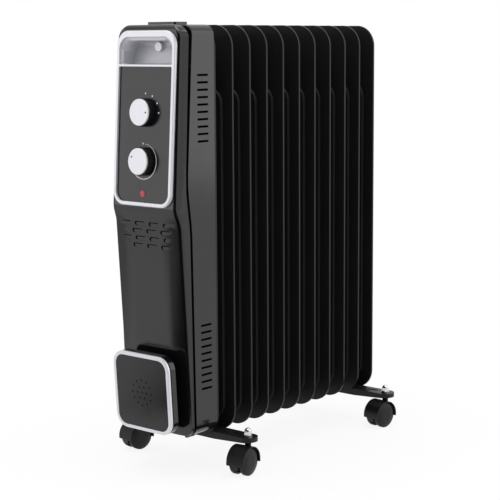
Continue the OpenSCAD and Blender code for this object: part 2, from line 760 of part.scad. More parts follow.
module thermal_cutout()
  color(steel) translate([0, fitting_y, cutout_z]) {
    rod_y(9, -3, 0);
    rod_y(7, -9, -3);
    for (x = [-3, 3]) translate([x - 0.4, -17, -3]) cube([0.8, 8, 6]);
  }

module terminal_block()
  color(grey) translate([0, fitting_y, terminal_z]) difference() {
    translate([-24, -16, -9]) cube([48, 16, 18]);
    for (k = [-1:1]) translate([k * 15, 0, 0]) rod_y(2.5, -16 - cut, -6);
  }

cord_x = 30;
cord_y = fin0_y - back_wall_reach - 20;
cord_bush_r = 7;

// Cord bush in the bottom wall: a sleeve between two flanges
module cord_bush()
  color(rubber) translate([cord_x, cord_y, housing_z]) difference() {
    union() {
      translate([0, 0, -2]) cylinder(r = cord_bush_r + 2, h = 2);
      translate([0, 0, -1]) cylinder(r = cord_bush_r, h = wall + 2);
      translate([0, 0, wall]) cylinder(r = cord_bush_r + 2, h = 2);
    }
    translate([0, 0, -2 - cut]) cylinder(r = 3.6, h = wall + 4 + 2 * cut);
  }

cap_w = 54;
cap_d = 25;
cap_y = fin0_y - 24.5;
cap_pin_x = 18;
cap_pin_r = 2;

// Flat cap on top of the rear cover, held by two pins
module top_cap()
  color(black) translate([0, cap_y, housing_top]) {
    linear_extrude(top_cap_t) translate([0, -cap_d / 2]) rounded(cap_w, cap_d, 3);
    for (x = [-1, 1]) translate([x * cap_pin_x, 0, -wall - 2]) cylinder(r = cap_pin_r, h = wall + 3);
  }

// ---------- cord winder ----------

neck_w = 58;
neck_h = 66;
spool_wall = 3;

// Spool moulding: a hollow neck off the cover and a plate that keeps the cord on it
module winder_spool()
  color(black) on_winder() difference() {
    union() {
      translate([0, (winder_h - neck_h) / 2]) linear_extrude(cord_room + cut) rounded(neck_w, neck_h, 12);
      translate([0, 0, cord_room]) linear_extrude(winder_t) rounded(winder_w, winder_h, winder_corner);
      translate([0, ring_band, cord_room + winder_t - cut]) linear_extrude(spool_step + cut)
        rounded(winder_w - 2 * ring_band, winder_h - 2 * ring_band, winder_corner - ring_band);
    }
    translate([0, (winder_h - neck_h) / 2 + spool_wall, -cut])
      linear_extrude(cord_room + winder_t - spool_wall)
        rounded(neck_w - 2 * spool_wall, neck_h - 2 * spool_wall, 12 - spool_wall);
  }

ring_floor = 1;                                  // ledge of the ring that carries the dark inlay
ledge = 6;

module winder_ring() {
  soft = 1;
  hole = ring_band + ledge;
  color(silver) on_winder() translate([0, 0, ring_up]) difference() {
    union() {
      linear_extrude(ring_t - soft) rounded(winder_w, winder_h, winder_corner);
      translate([0, winder_h / 2, ring_t - soft])
        linear_extrude(soft, slices = 1, scale = [1 - 2 * soft / winder_w, 1 - 2 * soft / winder_h])
          translate([0, -winder_h / 2]) rounded(winder_w, winder_h, winder_corner, $fn = 48);
    }
    translate([0, ring_band, ring_floor]) linear_extrude(ring_t)
      rounded(winder_w - 2 * ring_band, winder_h - 2 * ring_band, winder_corner - ring_band);
    translate([0, hole, -cut]) linear_extrude(ring_t)
      rounded(winder_w - 2 * hole, winder_h - 2 * hole, winder_corner - ring_band - 1);
  }
}

face_t = 2.2;
dimple_r = 1.6;
dimple_pitch = 9;

// Dark inlay in the ring with a plain pattern of small round dimples
module winder_face() {
  band = ring_band + loose;
  color(grey) on_winder() translate([0, 0, ring_up + ring_floor]) difference() {
    translate([0, band]) linear_extrude(face_t)
      rounded(winder_w - 2 * band, winder_h - 2 * band, winder_corner - band);
    translate([0, winder_h / 2, face_t - 0.8]) {
      cylinder(r = dimple_r, h = 2, $fn = 24);
      for (ring = [1:2], k = [0:6 * ring - 1]) rotate(k * 60 / ring)
        translate([ring * dimple_pitch, 0]) cylinder(r = dimple_r, h = 2, $fn = 24);
    }
  }
}

// ---------- foot brackets ----------

bracket_l = 2 * stem_x;
bolt_r = 2.5;
leg_x = neck_r + seat + bolt_r;
saddle_foot = neck_r + 14;                       // half width of the saddle on the channel
saddle_head = neck_r - 1;                        // half width of the saddle under the neck
bead_x = stem_x - 24;                            // long pressed beads near the ends

// Plan view of a bracket: straight sides and round ends about the stems
module bracket_plan(w) {
  square([bracket_l, w], center = true);
  for (x = [-1, 1]) translate([x * stem_x, 0]) circle(w / 2);
}

// Side view of the channel: flanges deeper in the middle than at the ends
module channel_side() {
  tip = stem_x + bracket_w / 2 + cut;
  polygon([[-tip, 0], [-tip, -bracket_tip_h], [-stem_x / 2, -bracket_h], [stem_x / 2, -bracket_h],
           [tip, -bracket_tip_h], [tip, 0]]);
}

// Saddle that rises from the channel to the collector's neck
module saddle(w, t) {
  rise = collector_low - bracket_z;
  head_z = rise - 12 - t;
  translate([0, 0, bracket_z]) difference() {
    upright(w) polygon([[-saddle_foot + t, -t - 0.01], [-saddle_head + t / 2, head_z],
                        [saddle_head - t / 2, head_z], [saddle_foot - t, -t - 0.01]]);
    translate([0, 0, rise]) rotate([90, 0, 0]) cylinder(r = neck_r + seat + t, h = w + 2, center = true);
  }
}

module foot_bracket(row) {
  y = fin_y(bracket_rows[row]);
  saddle_w = fin_pitch - 2 * (fin_half + flare);
  color(black) translate([0, y, 0]) difference() {
    union() {
      intersection() {
        translate([0, 0, bracket_z]) upright(bracket_w + 2) channel_side();
        translate([0, 0, bracket_z - 2 * bracket_h]) linear_extrude(2 * bracket_h) bracket_plan(bracket_w);
      }
      saddle(saddle_w, 0);
    }
    translate([0, 0, bracket_z - 2 * bracket_h]) linear_extrude(2 * bracket_h - bracket_t)
      bracket_plan(bracket_w - 2 * bracket_t);
    saddle(saddle_w - 2 * bracket_t, bracket_t);
    // stem and clamp holes
    for (x = [-1, 1]) {
      translate([x * stem_x, 0, bracket_z - 10]) cylinder(r = stem_r + running, h = 20);
      translate([x * leg_x, 0, bracket_z - 10]) cylinder(r = bolt_r + loose, h = 60);
      // long pressed bead towards the end
      translate([x * bead_x, 0, bracket_z - 0.8]) linear_extrude(2) slot(18, 9);
    }
  }
}

// Clamps over the lower collector, each with two threaded legs through its bracket
module u_bolts()
  color(steel) for (row = [0, 1]) translate([0, fin_y(bracket_rows[row]), collector_low]) {
    rotate([90, 0, 0]) rotate_extrude(angle = 180) translate([leg_x, 0]) circle(bolt_r, $fn = 32);
    for (x = [-1, 1]) translate([x * leg_x, 0, bracket_z - collector_low - bracket_h + 1])
      cylinder(r = bolt_r, h = collector_low - bracket_z + bracket_h - 1, $fn = 32);
  }

module wing_nuts()
  color(steel) for (row = [0, 1], x = [-1, 1])
    translate([x * leg_x, fin_y(bracket_rows[row]), bracket_z - bracket_t - 5]) difference() {
      union() {
        cylinder(r = 5, h = 5);
        translate([-1.5, -9, 0]) cube([3, 18, 4]);
      }
      translate([0, 0, -cut]) cylinder(r = bolt_r + running, h = 12);
    }

// ---------- casters ----------

// Places a caster's parts at corner c, turned to its rest position, with the stem on the Z axis
module at_caster(c)
  translate([corners[c][0] * stem_x, fin_y(bracket_rows[corners[c][1]]), 0])
    rotate(swivel * corners[c][0] * (corners[c][1] == 0 ? 1 : -1)) children();

socket_r = stem_r + 1.5;
stem_foot = wheel_r + 5;                         // bottom of the stem in its socket
collar_h = 3;                                    // stem's collar under the bracket
thread_up = 8;                                   // stem above the bracket
wheel_gap = 0.5;                                 // between the web and a wheel
wheel_in = web_t / 2 + wheel_gap;
wheel_out = wheel_in + wheel_t;

// Fixed stems: pin in the hood's socket, collar under the bracket, thread up to the dome nut
module caster_stems()
  color(steel) for (c = [0:3]) at_caster(c) {
    translate([0, 0, stem_foot + 0.5]) cylinder(r = stem_r, h = bracket_z + thread_up - stem_foot - 0.5);
    translate([0, 0, bracket_z - bracket_t - collar_h]) cylinder(r = stem_r + 2.5, h = collar_h);
  }

dome_r = stem_r + 2;

// Chrome nuts on the stems: washer face, hexagon and dome
module dome_nuts()
  color(steel) for (c = [0:3]) at_caster(c) translate([0, 0, bracket_z]) difference() {
    union() {
      cylinder(r = dome_r + 1.6, h = 1.6);
      translate([0, 0, 1.6]) linear_extrude(4.4) hexagon(2 * dome_r);
      translate([0, 0, 6]) intersection() {
        translate([0, 0, 1]) sphere(r = dome_r);
        cylinder(r = dome_r, h = 2 * dome_r);
      }
    }
    translate([0, 0, -cut]) cylinder(r = stem_r + running, h = thread_up + cut + 0.5);
  }

// Hood: arched cover over both wheels, a web between them and a socket for the stem
module hood(c)
  color(black) at_caster(c) difference() {
    union() {
      translate([0, -trail, wheel_r]) {
        rotate([90, 0, 90]) difference() {
          cylinder(r = hood_r, h = 2 * wheel_out, center = true);
          cylinder(r = hood_r - hood_t, h = 2 * wheel_out + 2, center = true);
          translate([-hood_r - 1, -2 * hood_r - 4, -30]) cube([2 * hood_r + 2, 2 * hood_r, 60]);
        }
        rotate([90, 0, 90]) intersection() {
          cylinder(r = hood_r - 0.4, h = web_t, center = true);
          translate([-hood_r, -9, -web_t]) cube([2 * hood_r, 40, 2 * web_t]);
        }
      }
      translate([0, 0, stem_foot])
        cylinder(r = socket_r, h = bracket_z - bracket_t - collar_h - loose - stem_foot);
    }
    translate([0, 0, stem_foot]) cylinder(r = stem_r + running, h = 40);
    translate([0, -trail, wheel_r]) rotate([0, 90, 0]) cylinder(r = axle_r + running, h = 40, center = true);
  }

module axle(c)
  color(steel) at_caster(c) translate([0, -trail, wheel_r]) rotate([0, 90, 0])
    cylinder(r = axle_r, h = 2 * wheel_out - 3, center = true);

// Domed wheel with a dished rim; side is 1 for the wheel on the outside of the heater
module wheel(c, side) {
  dir = side * corners[c][0];
  crown = 2.4;
  color(black) at_caster(c) translate([dir * wheel_in, -trail, wheel_r]) rotate([0, 90 * dir, 0])
    difference() {
      rotate_extrude($fn = 96) polygon([[0, 0], [wheel_r - 1, 0], [wheel_r, 1], [wheel_r, wheel_t - 3.4],
        [wheel_r - 1.4, wheel_t - crown], [wheel_r - 6, wheel_t - 1], [8, wheel_t], [0, wheel_t]]);
      translate([0, 0, -cut]) cylinder(r = axle_r + running, h = wheel_t);
      translate([0, 0, -cut]) difference() {
        cylinder(r = wheel_r - 3, h = wheel_t - 3.4 + cut);
        cylinder(r = 6, h = wheel_t);
      }
    }
}

// ---------- nodes ----------

fin(0);  // fin_01
fin(1);  // fin_02
fin(2);  // fin_03
fin(3);  // fin_04
fin(4);  // fin_05
fin(5);  // fin_06
fin(6);  // fin_07
fin(7);  // fin_08
fin(8);  // fin_09
fin(9);  // fin_10
fin(10);  // fin_11
oil_filler_plug();
heating_element();
element_terminals();
rear_cover();
front_cover();
control_frame();
handle_cup();
screw_cap();
cover_screw();
control_panel();
top_cap();
heat_switch();
thermostat();
indicator_lamp();
thermal_cutout();
terminal_block();
cord_bush();
switch_shaft();
switch_knob();
switch_knob_disc();
thermostat_shaft();
thermostat_knob();
thermostat_knob_disc();
winder_spool();
winder_ring();
winder_face();
foot_bracket(0);  // front_bracket
foot_bracket(1);  // rear_bracket
u_bolts();
wing_nuts();
caster_stems();
dome_nuts();
hood(0);  // hood_front_right
hood(1);  // hood_front_left
hood(2);  // hood_rear_right
hood(3);  // hood_rear_left
wheel(0, 1);  // outer_wheel_front_right
wheel(0, -1);  // inner_wheel_front_right
wheel(1, 1);  // outer_wheel_front_left
wheel(1, -1);  // inner_wheel_front_left
wheel(2, 1);  // outer_wheel_rear_right
wheel(2, -1);  // inner_wheel_rear_right
wheel(3, 1);  // outer_wheel_rear_left
wheel(3, -1);  // inner_wheel_rear_left
axle(0);  // axle_front_right
axle(1);  // axle_front_left
axle(2);  // axle_rear_right
axle(3);  // axle_rear_left
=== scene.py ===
"""Looks of an oil filled radiator heater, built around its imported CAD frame.

Every length is in metres in the CAD frame, unless a name ends in _mm or _um.
"""
import logging
import math
from collections.abc import Callable
from dataclasses import dataclass
from enum import Enum

import bmesh
import bpy
from mathutils import Matrix, Vector
from mathutils.bvhtree import BVHTree


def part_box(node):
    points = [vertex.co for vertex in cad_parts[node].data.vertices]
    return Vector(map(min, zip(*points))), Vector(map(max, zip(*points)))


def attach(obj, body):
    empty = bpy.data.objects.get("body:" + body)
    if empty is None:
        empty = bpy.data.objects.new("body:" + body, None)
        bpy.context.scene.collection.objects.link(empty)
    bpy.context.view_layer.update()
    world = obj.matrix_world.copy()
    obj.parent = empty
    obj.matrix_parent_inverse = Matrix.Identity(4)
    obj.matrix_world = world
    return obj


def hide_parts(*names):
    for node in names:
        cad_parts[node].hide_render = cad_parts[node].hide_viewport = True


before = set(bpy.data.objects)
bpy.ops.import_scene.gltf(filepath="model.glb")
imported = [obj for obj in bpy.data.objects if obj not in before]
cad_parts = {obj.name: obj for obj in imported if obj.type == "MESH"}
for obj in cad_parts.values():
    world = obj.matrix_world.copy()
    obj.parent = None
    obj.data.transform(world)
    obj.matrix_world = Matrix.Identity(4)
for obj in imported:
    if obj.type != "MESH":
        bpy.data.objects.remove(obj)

LOG = logging.getLogger("heater")
MM = 0.001
UM = 0.000001
MAIN_BODY = "heater"
FIN_COUNT = 11
CORNERS = ("front_right", "front_left", "rear_right", "rear_left")
LEAN = math.radians(3.6)         # the control panel leans back by this, and the cord winder forward
MERGE = 0.01 * MM                # points of a CAD mesh that lie closer than this are one point
SLIVER = 0.005 * MM              # edges of a CAD mesh that are shorter than this are closed up
FLAT_DEGREES = 0.15              # faces that meet more flatly than this are one face
SMOOTH_DEGREES = 38.0            # edges sharper than this stay hard in the shading
LARGE_FACES = 100                # full weight of the large faces in the shading of round edges
CLOUD_LOW, CLOUD_HIGH = 0.3, 0.7   # usual range of Blender's noise
BEAD_WIDTH = 1.35                # width of a weld bead across the seam, as a share of its length
ARC_STEPS = 72
MARK_SIDES = 20

Place = Callable[[Vector], Vector]


# ---------- nodes and colours ----------


def linear(hex_colour: str) -> tuple[float, float, float, float]:
    """Turns an sRGB hex colour into linear values.

    Args:
        hex_colour: six hex digits, such as "0B0B0C".

    Returns:
        Linear red, green and blue, and an alpha of one.
    """
    channels = [int(hex_colour[k:k + 2], 16) / 255 for k in (0, 2, 4)]
    red, green, blue = (c / 12.92 if c <= 0.04045 else ((c + 0.055) / 1.055) ** 2.4 for c in channels)
    return red, green, blue, 1.0


def add_node(tree: bpy.types.NodeTree, kind: str, values: dict | None = None,
             links: dict | None = None, **settings: object) -> bpy.types.Node:
    """Adds a node with its settings and links.

    Args:
        tree: the node tree that gets the node.
        kind: the node's Blender type name.
        values: input values by input name or number.
        links: output sockets by the input name or number that they feed.
        settings: attributes of the node, such as operation.

    Returns:
        The new node.
    """
    node = tree.nodes.new(kind)
    for attribute, value in settings.items():
        setattr(node, attribute, value)
    for key, value in (values or {}).items():
        node.inputs[key].default_value = value
    for key, socket in (links or {}).items():
        tree.links.new(socket, node.inputs[key])
    return node


def per_mm(size_mm: float) -> float:
    """Texture scale at which one feature of a pattern in metres is size_mm wide."""
    return 1 / MM / size_mm


def seen_straight(tree: bpy.types.NodeTree) -> bpy.types.NodeSocket:
    """Tells the rays that carry a picture from those that carry light.

    Args:
        tree: the node tree that gets the nodes.

    Returns:
        One for rays from the camera, a mirror or a lens, and zero for all others.
    """
    path = add_node(tree, "ShaderNodeLightPath")
    seen = add_node(tree, "ShaderNodeMath", operation="MAXIMUM",
                    links={0: path.outputs["Is Camera Ray"], 1: path.outputs["Is Glossy Ray"]})
    seen = add_node(tree, "ShaderNodeMath", operation="MAXIMUM",
                    links={0: seen.outputs[0], 1: path.outputs["Is Transmission Ray"]})
    return seen.outputs[0]


def add_object(name: str, data: bpy.types.ID) -> bpy.types.Object:
    """Makes an object in the scene.

    Args:
        name: name of the object.
        data: its mesh, lamp or camera.

    Returns:
        The object.
    """
    made = bpy.data.objects.new(name, data)
    bpy.context.scene.collection.objects.link(made)
    return made


# ---------- finishes ----------


@dataclass(frozen=True)
class Finish:
    """A surface finish: what the piece is made of and how its face was made.

    The colour drifts slowly towards its tone in clouds of cloud_mm, the roughness drifts with it,
    and a fine grain of grain_mm lifts the surface by grain_um.
    """

    name: str
    colour: str
    tone: str
    roughness: float
    metallic: float = 0.0
    ior: float = 1.5
    cloud_mm: float = 45.0
    swing: float = 0.05
    grain_mm: float = 1.0
    grain_um: float = 8.0
    coat: float = 0.0

    def material(self) -> bpy.types.Material:
        """Builds the finish once and returns its material."""
        known = bpy.data.materials.get(self.name)
        if known:
            return known
        made = bpy.data.materials.new(self.name)
        made.use_nodes = True
        made.diffuse_color = linear(self.colour)
        tree = made.node_tree
        tree.nodes.clear()
        spot = add_node(tree, "ShaderNodeTexCoord").outputs["Object"]
        cloud = add_node(tree, "ShaderNodeTexNoise", {"Scale": per_mm(self.cloud_mm), "Detail": 3.0},
                         {"Vector": spot}).outputs["Fac"]
        shader = add_node(tree, "ShaderNodeBsdfPrincipled",
                          {"Metallic": self.metallic, "IOR": self.ior, "Coat Weight": self.coat},
                          {"Base Color": self.colour_socket(tree, spot, cloud),
                           "Roughness": self.roughness_socket(tree, spot, cloud),
                           "Normal": self.normal_socket(tree, spot)})
        add_node(tree, "ShaderNodeOutputMaterial", links={"Surface": self.surface(tree, spot, shader)})
        return made

    def colour_socket(self, tree: bpy.types.NodeTree, spot: bpy.types.NodeSocket,
                      cloud: bpy.types.NodeSocket) -> bpy.types.NodeSocket:
        """Colour that drifts between the finish's two colours.

        Args:
            tree: the material's node tree.
            spot: the place on the piece, not used here.
            cloud: slow noise from 0 to 1.

        Returns:
            The colour output.
        """
        mixed = add_node(tree, "ShaderNodeMix", {6: linear(self.colour), 7: linear(self.tone)},
                         {0: cloud}, data_type="RGBA")
        return mixed.outputs[2]

    def roughness_socket(self, tree: bpy.types.NodeTree, spot: bpy.types.NodeSocket,
                         cloud: bpy.types.NodeSocket) -> bpy.types.NodeSocket:
        """Roughness that drifts with the clouds.

        Args:
            tree: the material's node tree.
            spot: the place on the piece, not used here.
            cloud: slow noise from 0 to 1.

        Returns:
            The roughness output.
        """
        ranged = add_node(tree, "ShaderNodeMapRange",
                          {"From Min": CLOUD_LOW, "From Max": CLOUD_HIGH,
                           "To Min": self.roughness - self.swing / 2,
                           "To Max": self.roughness + self.swing / 2}, {"Value": cloud})
        return ranged.outputs["Result"]

    def normal_socket(self, tree: bpy.types.NodeTree, spot: bpy.types.NodeSocket) -> bpy.types.NodeSocket:
        """Fine grain of the surface.

        Args:
            tree: the material's node tree.
            spot: the place on the piece.

        Returns:
            The normal output.
        """
        grain = add_node(tree, "ShaderNodeTexNoise", {"Scale": per_mm(self.grain_mm), "Detail": 2.0},
                         {"Vector": spot}).outputs["Fac"]
        bump = add_node(tree, "ShaderNodeBump", {"Strength": 1.0, "Distance": self.grain_um * UM},
                        {"Height": grain})
        return bump.outputs["Normal"]

    def surface(self, tree: bpy.types.NodeTree, spot: bpy.types.NodeSocket,
                shader: bpy.types.Node) -> bpy.types.NodeSocket:
        """What the finish shows: its shader, unless a kind of finish adds to it.

        Args:
            tree: the material's node tree, not used here.
            spot: the place on the piece, not used here.
            shader: the finish's main shader.

        Returns:
            The shader output.
        """
        return shader.outputs["BSDF"]


@dataclass(frozen=True)
class SpangledMetal(Finish):
    """Metal whose crystals or drawing marks show as small patches of other roughness."""

    spangle_mm: float = 3.0

    def roughness_socket(self, tree: bpy.types.NodeTree, spot: bpy.types.NodeSocket,
                         cloud: bpy.types.NodeSocket) -> bpy.types.NodeSocket:
        """Roughness that changes from crystal to crystal.

        Args:
            tree: the material's node tree.
            spot: the place on the piece.
            cloud: slow noise from 0 to 1, not used here.

        Returns:
            The roughness output.
        """
        cells = add_node(tree, "ShaderNodeTexVoronoi", {"Scale": per_mm(self.spangle_mm)},
                         {"Vector": spot}).outputs["Color"]
        ranged = add_node(tree, "ShaderNodeMapRange",
                          {"From Min": 0.0, "From Max": 1.0, "To Min": self.roughness - self.swing / 2,
                           "To Max": self.roughness + self.swing / 2}, {"Value": cells})
        return ranged.outputs["Result"]


@dataclass(frozen=True)
class TintedLens(Finish):
    """Clear tinted plastic that lets some light through."""

    clear: float = 0.4

    def surface(self, tree: bpy.types.NodeTree, spot: bpy.types.NodeSocket,
                shader: bpy.types.Node) -> bpy.types.NodeSocket:
        """Lets light through the lens.

        Args:
            tree: the material's node tree, not used here.
            spot: the place on the piece, not used here.
            shader: the lens's main shader.

        Returns:
            The shader output.
        """
        shader.inputs["Transmission Weight"].default_value = self.clear
        return shader.outputs["BSDF"]


@dataclass(frozen=True)
class WhiteFloor(Finish):
    """Pale floor that keeps shadows near the middle and is plain white to the eye further out."""

    near: float = 0.3
    far: float = 1.0
    near_white: float = 0.6

    def surface(self, tree: bpy.types.NodeTree, spot: bpy.types.NodeSocket,
                shader: bpy.types.Node) -> bpy.types.NodeSocket:
        """Mixes the lit floor with white, for rays that show it to the eye or in a mirror.

        Args:
            tree: the material's node tree.
            spot: the place on the floor.
            shader: the lit floor.

        Returns:
            The shader output.
        """
        away = add_node(tree, "ShaderNodeVectorMath", links={0: spot}, operation="LENGTH")
        white = add_node(tree, "ShaderNodeMapRange",
                         {"From Min": self.near, "From Max": self.far,
                          "To Min": self.near_white, "To Max": 1.0},
                         {"Value": away.outputs["Value"]}, interpolation_type="SMOOTHSTEP")
        share = add_node(tree, "ShaderNodeMath", operation="MULTIPLY",
                         links={0: seen_straight(tree), 1: white.outputs["Result"]})
        glow = add_node(tree, "ShaderNodeEmission", {"Color": linear("FFFFFF"), "Strength": 1.0})
        mixed = add_node(tree, "ShaderNodeMixShader", links={0: share.outputs[0], 1: shader.outputs["BSDF"],
                                                             2: glow.outputs[0]})
        return mixed.outputs[0]


# Black stove enamel sprayed on pressed steel: satin black with a slight orange peel.
STOVE_ENAMEL = Finish("black_stove_enamel", "171718", "1C1C1D", roughness=0.4, ior=1.32, cloud_mm=60,
                      swing=0.06, grain_mm=3.5, grain_um=12)
# Black polished ABS: mirror-like faces with a faint clouding where hands wiped them.
POLISHED_ABS = Finish("black_polished_abs", "0B0B0C", "0E0E10", roughness=0.13, ior=1.54, cloud_mm=50,
                      swing=0.05, grain_mm=6, grain_um=5)
# Black ABS inlay under clear lacquer: its grey comes from what its smooth face mirrors.
LACQUERED_INLAY = Finish("black_lacquered_abs", "101013", "141417", roughness=0.2, ior=1.47, cloud_mm=30,
                         swing=0.05, grain_mm=5, grain_um=3)
# ABS with a metallic silver lacquer: pale, satin, with fine flakes.
SILVER_LACQUER = Finish("silver_lacquered_abs", "D4D4DA", "DCDCE2", roughness=0.36, metallic=0.25,
                        cloud_mm=25, swing=0.06, grain_mm=0.5, grain_um=2, coat=0.2)
# The handle recess: the frame's silver lacquer painted a darker grey, as painted shade for the recess.
SHADED_RECESS_LACQUER = Finish("shaded_recess_silver_lacquered_abs", "C4C4CA", "CCCCD2", roughness=0.4, metallic=0.25,
                      cloud_mm=20, swing=0.06, grain_mm=0.5, grain_um=2, coat=0.2)
# Black moulded ABS with a spark eroded grain: soft dull sheen on the knobs' grips.
GRAINED_ABS = Finish("black_grained_abs", "0F0F10", "151517", roughness=0.42, cloud_mm=12, swing=0.08,
                     grain_mm=0.7, grain_um=18)
# Glass filled nylon of the casters: dull black, slightly greyer where the flow lines show.
CASTER_NYLON = Finish("black_glass_filled_nylon", "0B0B0C", "0F0F11", roughness=0.42, ior=1.33, cloud_mm=9,
                      swing=0.1, grain_mm=1.2, grain_um=8)
# Rubber bush: dull black with a fine bloom.
BUSH_RUBBER = Finish("black_moulded_rubber", "141414", "1C1C1C", roughness=0.75, cloud_mm=6, swing=0.1,
                     grain_mm=0.8, grain_um=15)
# Grey glass filled plastic of the hidden electrical parts.
MOULDED_POLYAMIDE = Finish("grey_moulded_polyamide", "4A4A4C", "555558", roughness=0.55, cloud_mm=15,
                           swing=0.1, grain_mm=1.0, grain_um=12)
# Zinc plated steel fittings: bright grey with fine crystals.
ZINC_STEEL = SpangledMetal("zinc_plated_steel", "B9BABC", "A8AAAE", roughness=0.32, metallic=1.0,
                           cloud_mm=10, swing=0.16, grain_mm=0.8, grain_um=3, spangle_mm=1.5)
# Chrome plated dome nuts: near mirror.
CHROME_PLATE = SpangledMetal("chrome_plated_steel", "DADBDD", "CFD0D3", roughness=0.08, metallic=1.0,
                             cloud_mm=8, swing=0.04, grain_mm=2.0, grain_um=1, spangle_mm=4.0)
# Red acrylic lens of the indicator lamp.
RED_ACRYLIC = TintedLens("red_tinted_acrylic", "C8303C", "B82430", roughness=0.2, ior=1.49, cloud_mm=4,
                         swing=0.05, grain_mm=0.6, grain_um=4, clear=0.25)
# Painted shade along the upper and left edges of the closed louvres: near black, and it mirrors next to
# nothing.
SLIT_SHADE = Finish("painted_slit_shade", "040404", "070707", roughness=0.9, ior=1.1, cloud_mm=2, swing=0.1,
                   grain_mm=0.3, grain_um=2)
# Painted shade: near black on the floors of the knobs' pointer dimples, for the shade in the pits.
DIMPLE_SHADE = Finish("painted_dimple_shade", "0A0A0C", "101012", roughness=0.6, cloud_mm=2, swing=0.08,
                  grain_mm=0.3, grain_um=2)
# Pad printed ink of the dial marks.
PRINT_INK = Finish("white_pad_printed_ink", "D8D8DA", "C8C8CA", roughness=0.5, cloud_mm=3, swing=0.1,
                   grain_mm=0.3, grain_um=2)


class Slot(Enum):
    """The record's material slots."""

    FIN_PAINT = "fin_paint"
    HOUSING = "housing_plastic"
    PANEL = "panel_plastic"
    SILVER = "silver_plastic"
    KNOB = "knob_plastic"
    LENS = "lamp_lens"
    INNER = "inner_plastic"
    STEEL = "steel"
    BRACKET = "bracket_paint"
    CHROME = "nut_chrome"
    CASTER = "caster_plastic"
    RUBBER = "bush_rubber"


def between(knots: tuple[tuple[float, float], ...], at: float) -> float:
    """Value at a place on a line through knots, level beyond its ends.

    Args:
        knots: pairs of a place and the value there, in order.
        at: the place.

    Returns:
        The value.
    """
    for (x0, y0), (x1, y1) in zip(knots, knots[1:]):
        if at <= x1:
            return y0 + (y1 - y0) * max(0.0, at - x0) / (x1 - x0)
    return knots[-1][1]


# ---------- pieces from CAD nodes ----------


@dataclass(frozen=True)
class Edging:
    """How the edges of a moulded or pressed piece are rounded."""

    radius_mm: float = 0.5
    steps: int = 2
    from_degrees: float = 32.0
    shortest_mm: float = 1.2


FINE = Edging()
CRISP = Edging(radius_mm=0.3)
SOFT = Edging(radius_mm=0.9, steps=3)


def merged_copy(node: str) -> bmesh.types.BMesh:
    """Copies a CAD node's triangles, joined into one skin with its flat faces whole.

    Args:
        node: name of the CAD node.

    Returns:
        The copy, to be freed by the caller.
    """
    skin = bmesh.new()
    skin.from_mesh(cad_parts[node].data)
    bmesh.ops.remove_doubles(skin, verts=skin.verts, dist=MERGE)
    bmesh.ops.dissolve_degenerate(skin, dist=SLIVER, edges=skin.edges)
    bmesh.ops.dissolve_limit(skin, angle_limit=math.radians(FLAT_DEGREES), verts=skin.verts,
                             edges=skin.edges)
    return skin


def round_edges(skin: bmesh.types.BMesh, edging: Edging) -> None:
    """Rounds the sharp edges of a skin.

    Args:
        skin: the mesh to change.
        edging: which edges, and how far they are rounded.
    """
    limit, shortest = math.radians(edging.from_degrees), edging.shortest_mm * MM
    sharp = [e for e in skin.edges
             if e.is_manifold and e.calc_face_angle() > limit and e.calc_length() > shortest]
    bmesh.ops.bevel(skin, geom=sharp, offset=edging.radius_mm * MM, offset_type="OFFSET",
                    segments=edging.steps, profile=0.5, affect="EDGES", clamp_overlap=True)


def as_object(name: str, skin: bmesh.types.BMesh) -> bpy.types.Object:
    """Turns a skin into a smooth shaded object and frees the skin.

    Args:
        name: name of the object.
        skin: the mesh data.

    Returns:
        The object, linked to the scene.
    """
    mesh = bpy.data.meshes.new(name)
    skin.to_mesh(mesh)
    skin.free()
    mesh.polygons.foreach_set("use_smooth", [True] * len(mesh.polygons))
    mesh.set_sharp_from_angle(angle=math.radians(SMOOTH_DEGREES))
    return add_object(name, mesh)


def even_shading(piece: bpy.types.Object) -> None:
    """Lets the large faces set the shading of the rounded edges.

    Args:
        piece: the piece to shade.
    """
    weighted = piece.modifiers.new("even_shading", "WEIGHTED_NORMAL")
    weighted.keep_sharp = True
    weighted.weight = LARGE_FACES


def enlist(piece: bpy.types.Object, body: str) -> None:
    """Lets a piece ride on its body.

    Args:
        piece: the piece.
        body: the CAD body that it rides on.
    """
    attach(piece, body)


def dress(node: str, finish: Finish, body: str = MAIN_BODY, edging: Edging = FINE,
          shape: Place | None = None) -> bpy.types.Object:
    """Makes the shown piece of a CAD node, with round edges and its finish.

    Args:
        node: name of the CAD node.
        finish: its finish.
        body: the CAD body that it rides on.
        edging: how its edges are rounded.
        shape: where each of its points goes, or None to leave them.

    Returns:
        The piece.
    """
    skin = merged_copy(node)
    if shape:
        for point in skin.verts:
            point.co = shape(point.co)
    round_edges(skin, edging)
    piece = as_object(f"{node}_shown", skin)
    piece.data.materials.append(finish.material())
    even_shading(piece)
    enlist(piece, body)
    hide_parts(node)
    return piece


def paint(node: str, finish: Finish) -> None:
    """Gives a CAD node that stays in the model its finish.

    Args:
        node: name of the CAD node.
        finish: its finish.
    """
    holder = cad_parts[node]
    if not holder.material_slots:
        holder.data.materials.append(None)
    for slot in holder.material_slots:
        slot.material = finish.material()


def centre_of(node: str) -> Vector:
    """Middle of a CAD node's box."""
    low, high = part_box(node)
    return (low + high) / 2


# ---------- patterns made by geometry nodes ----------


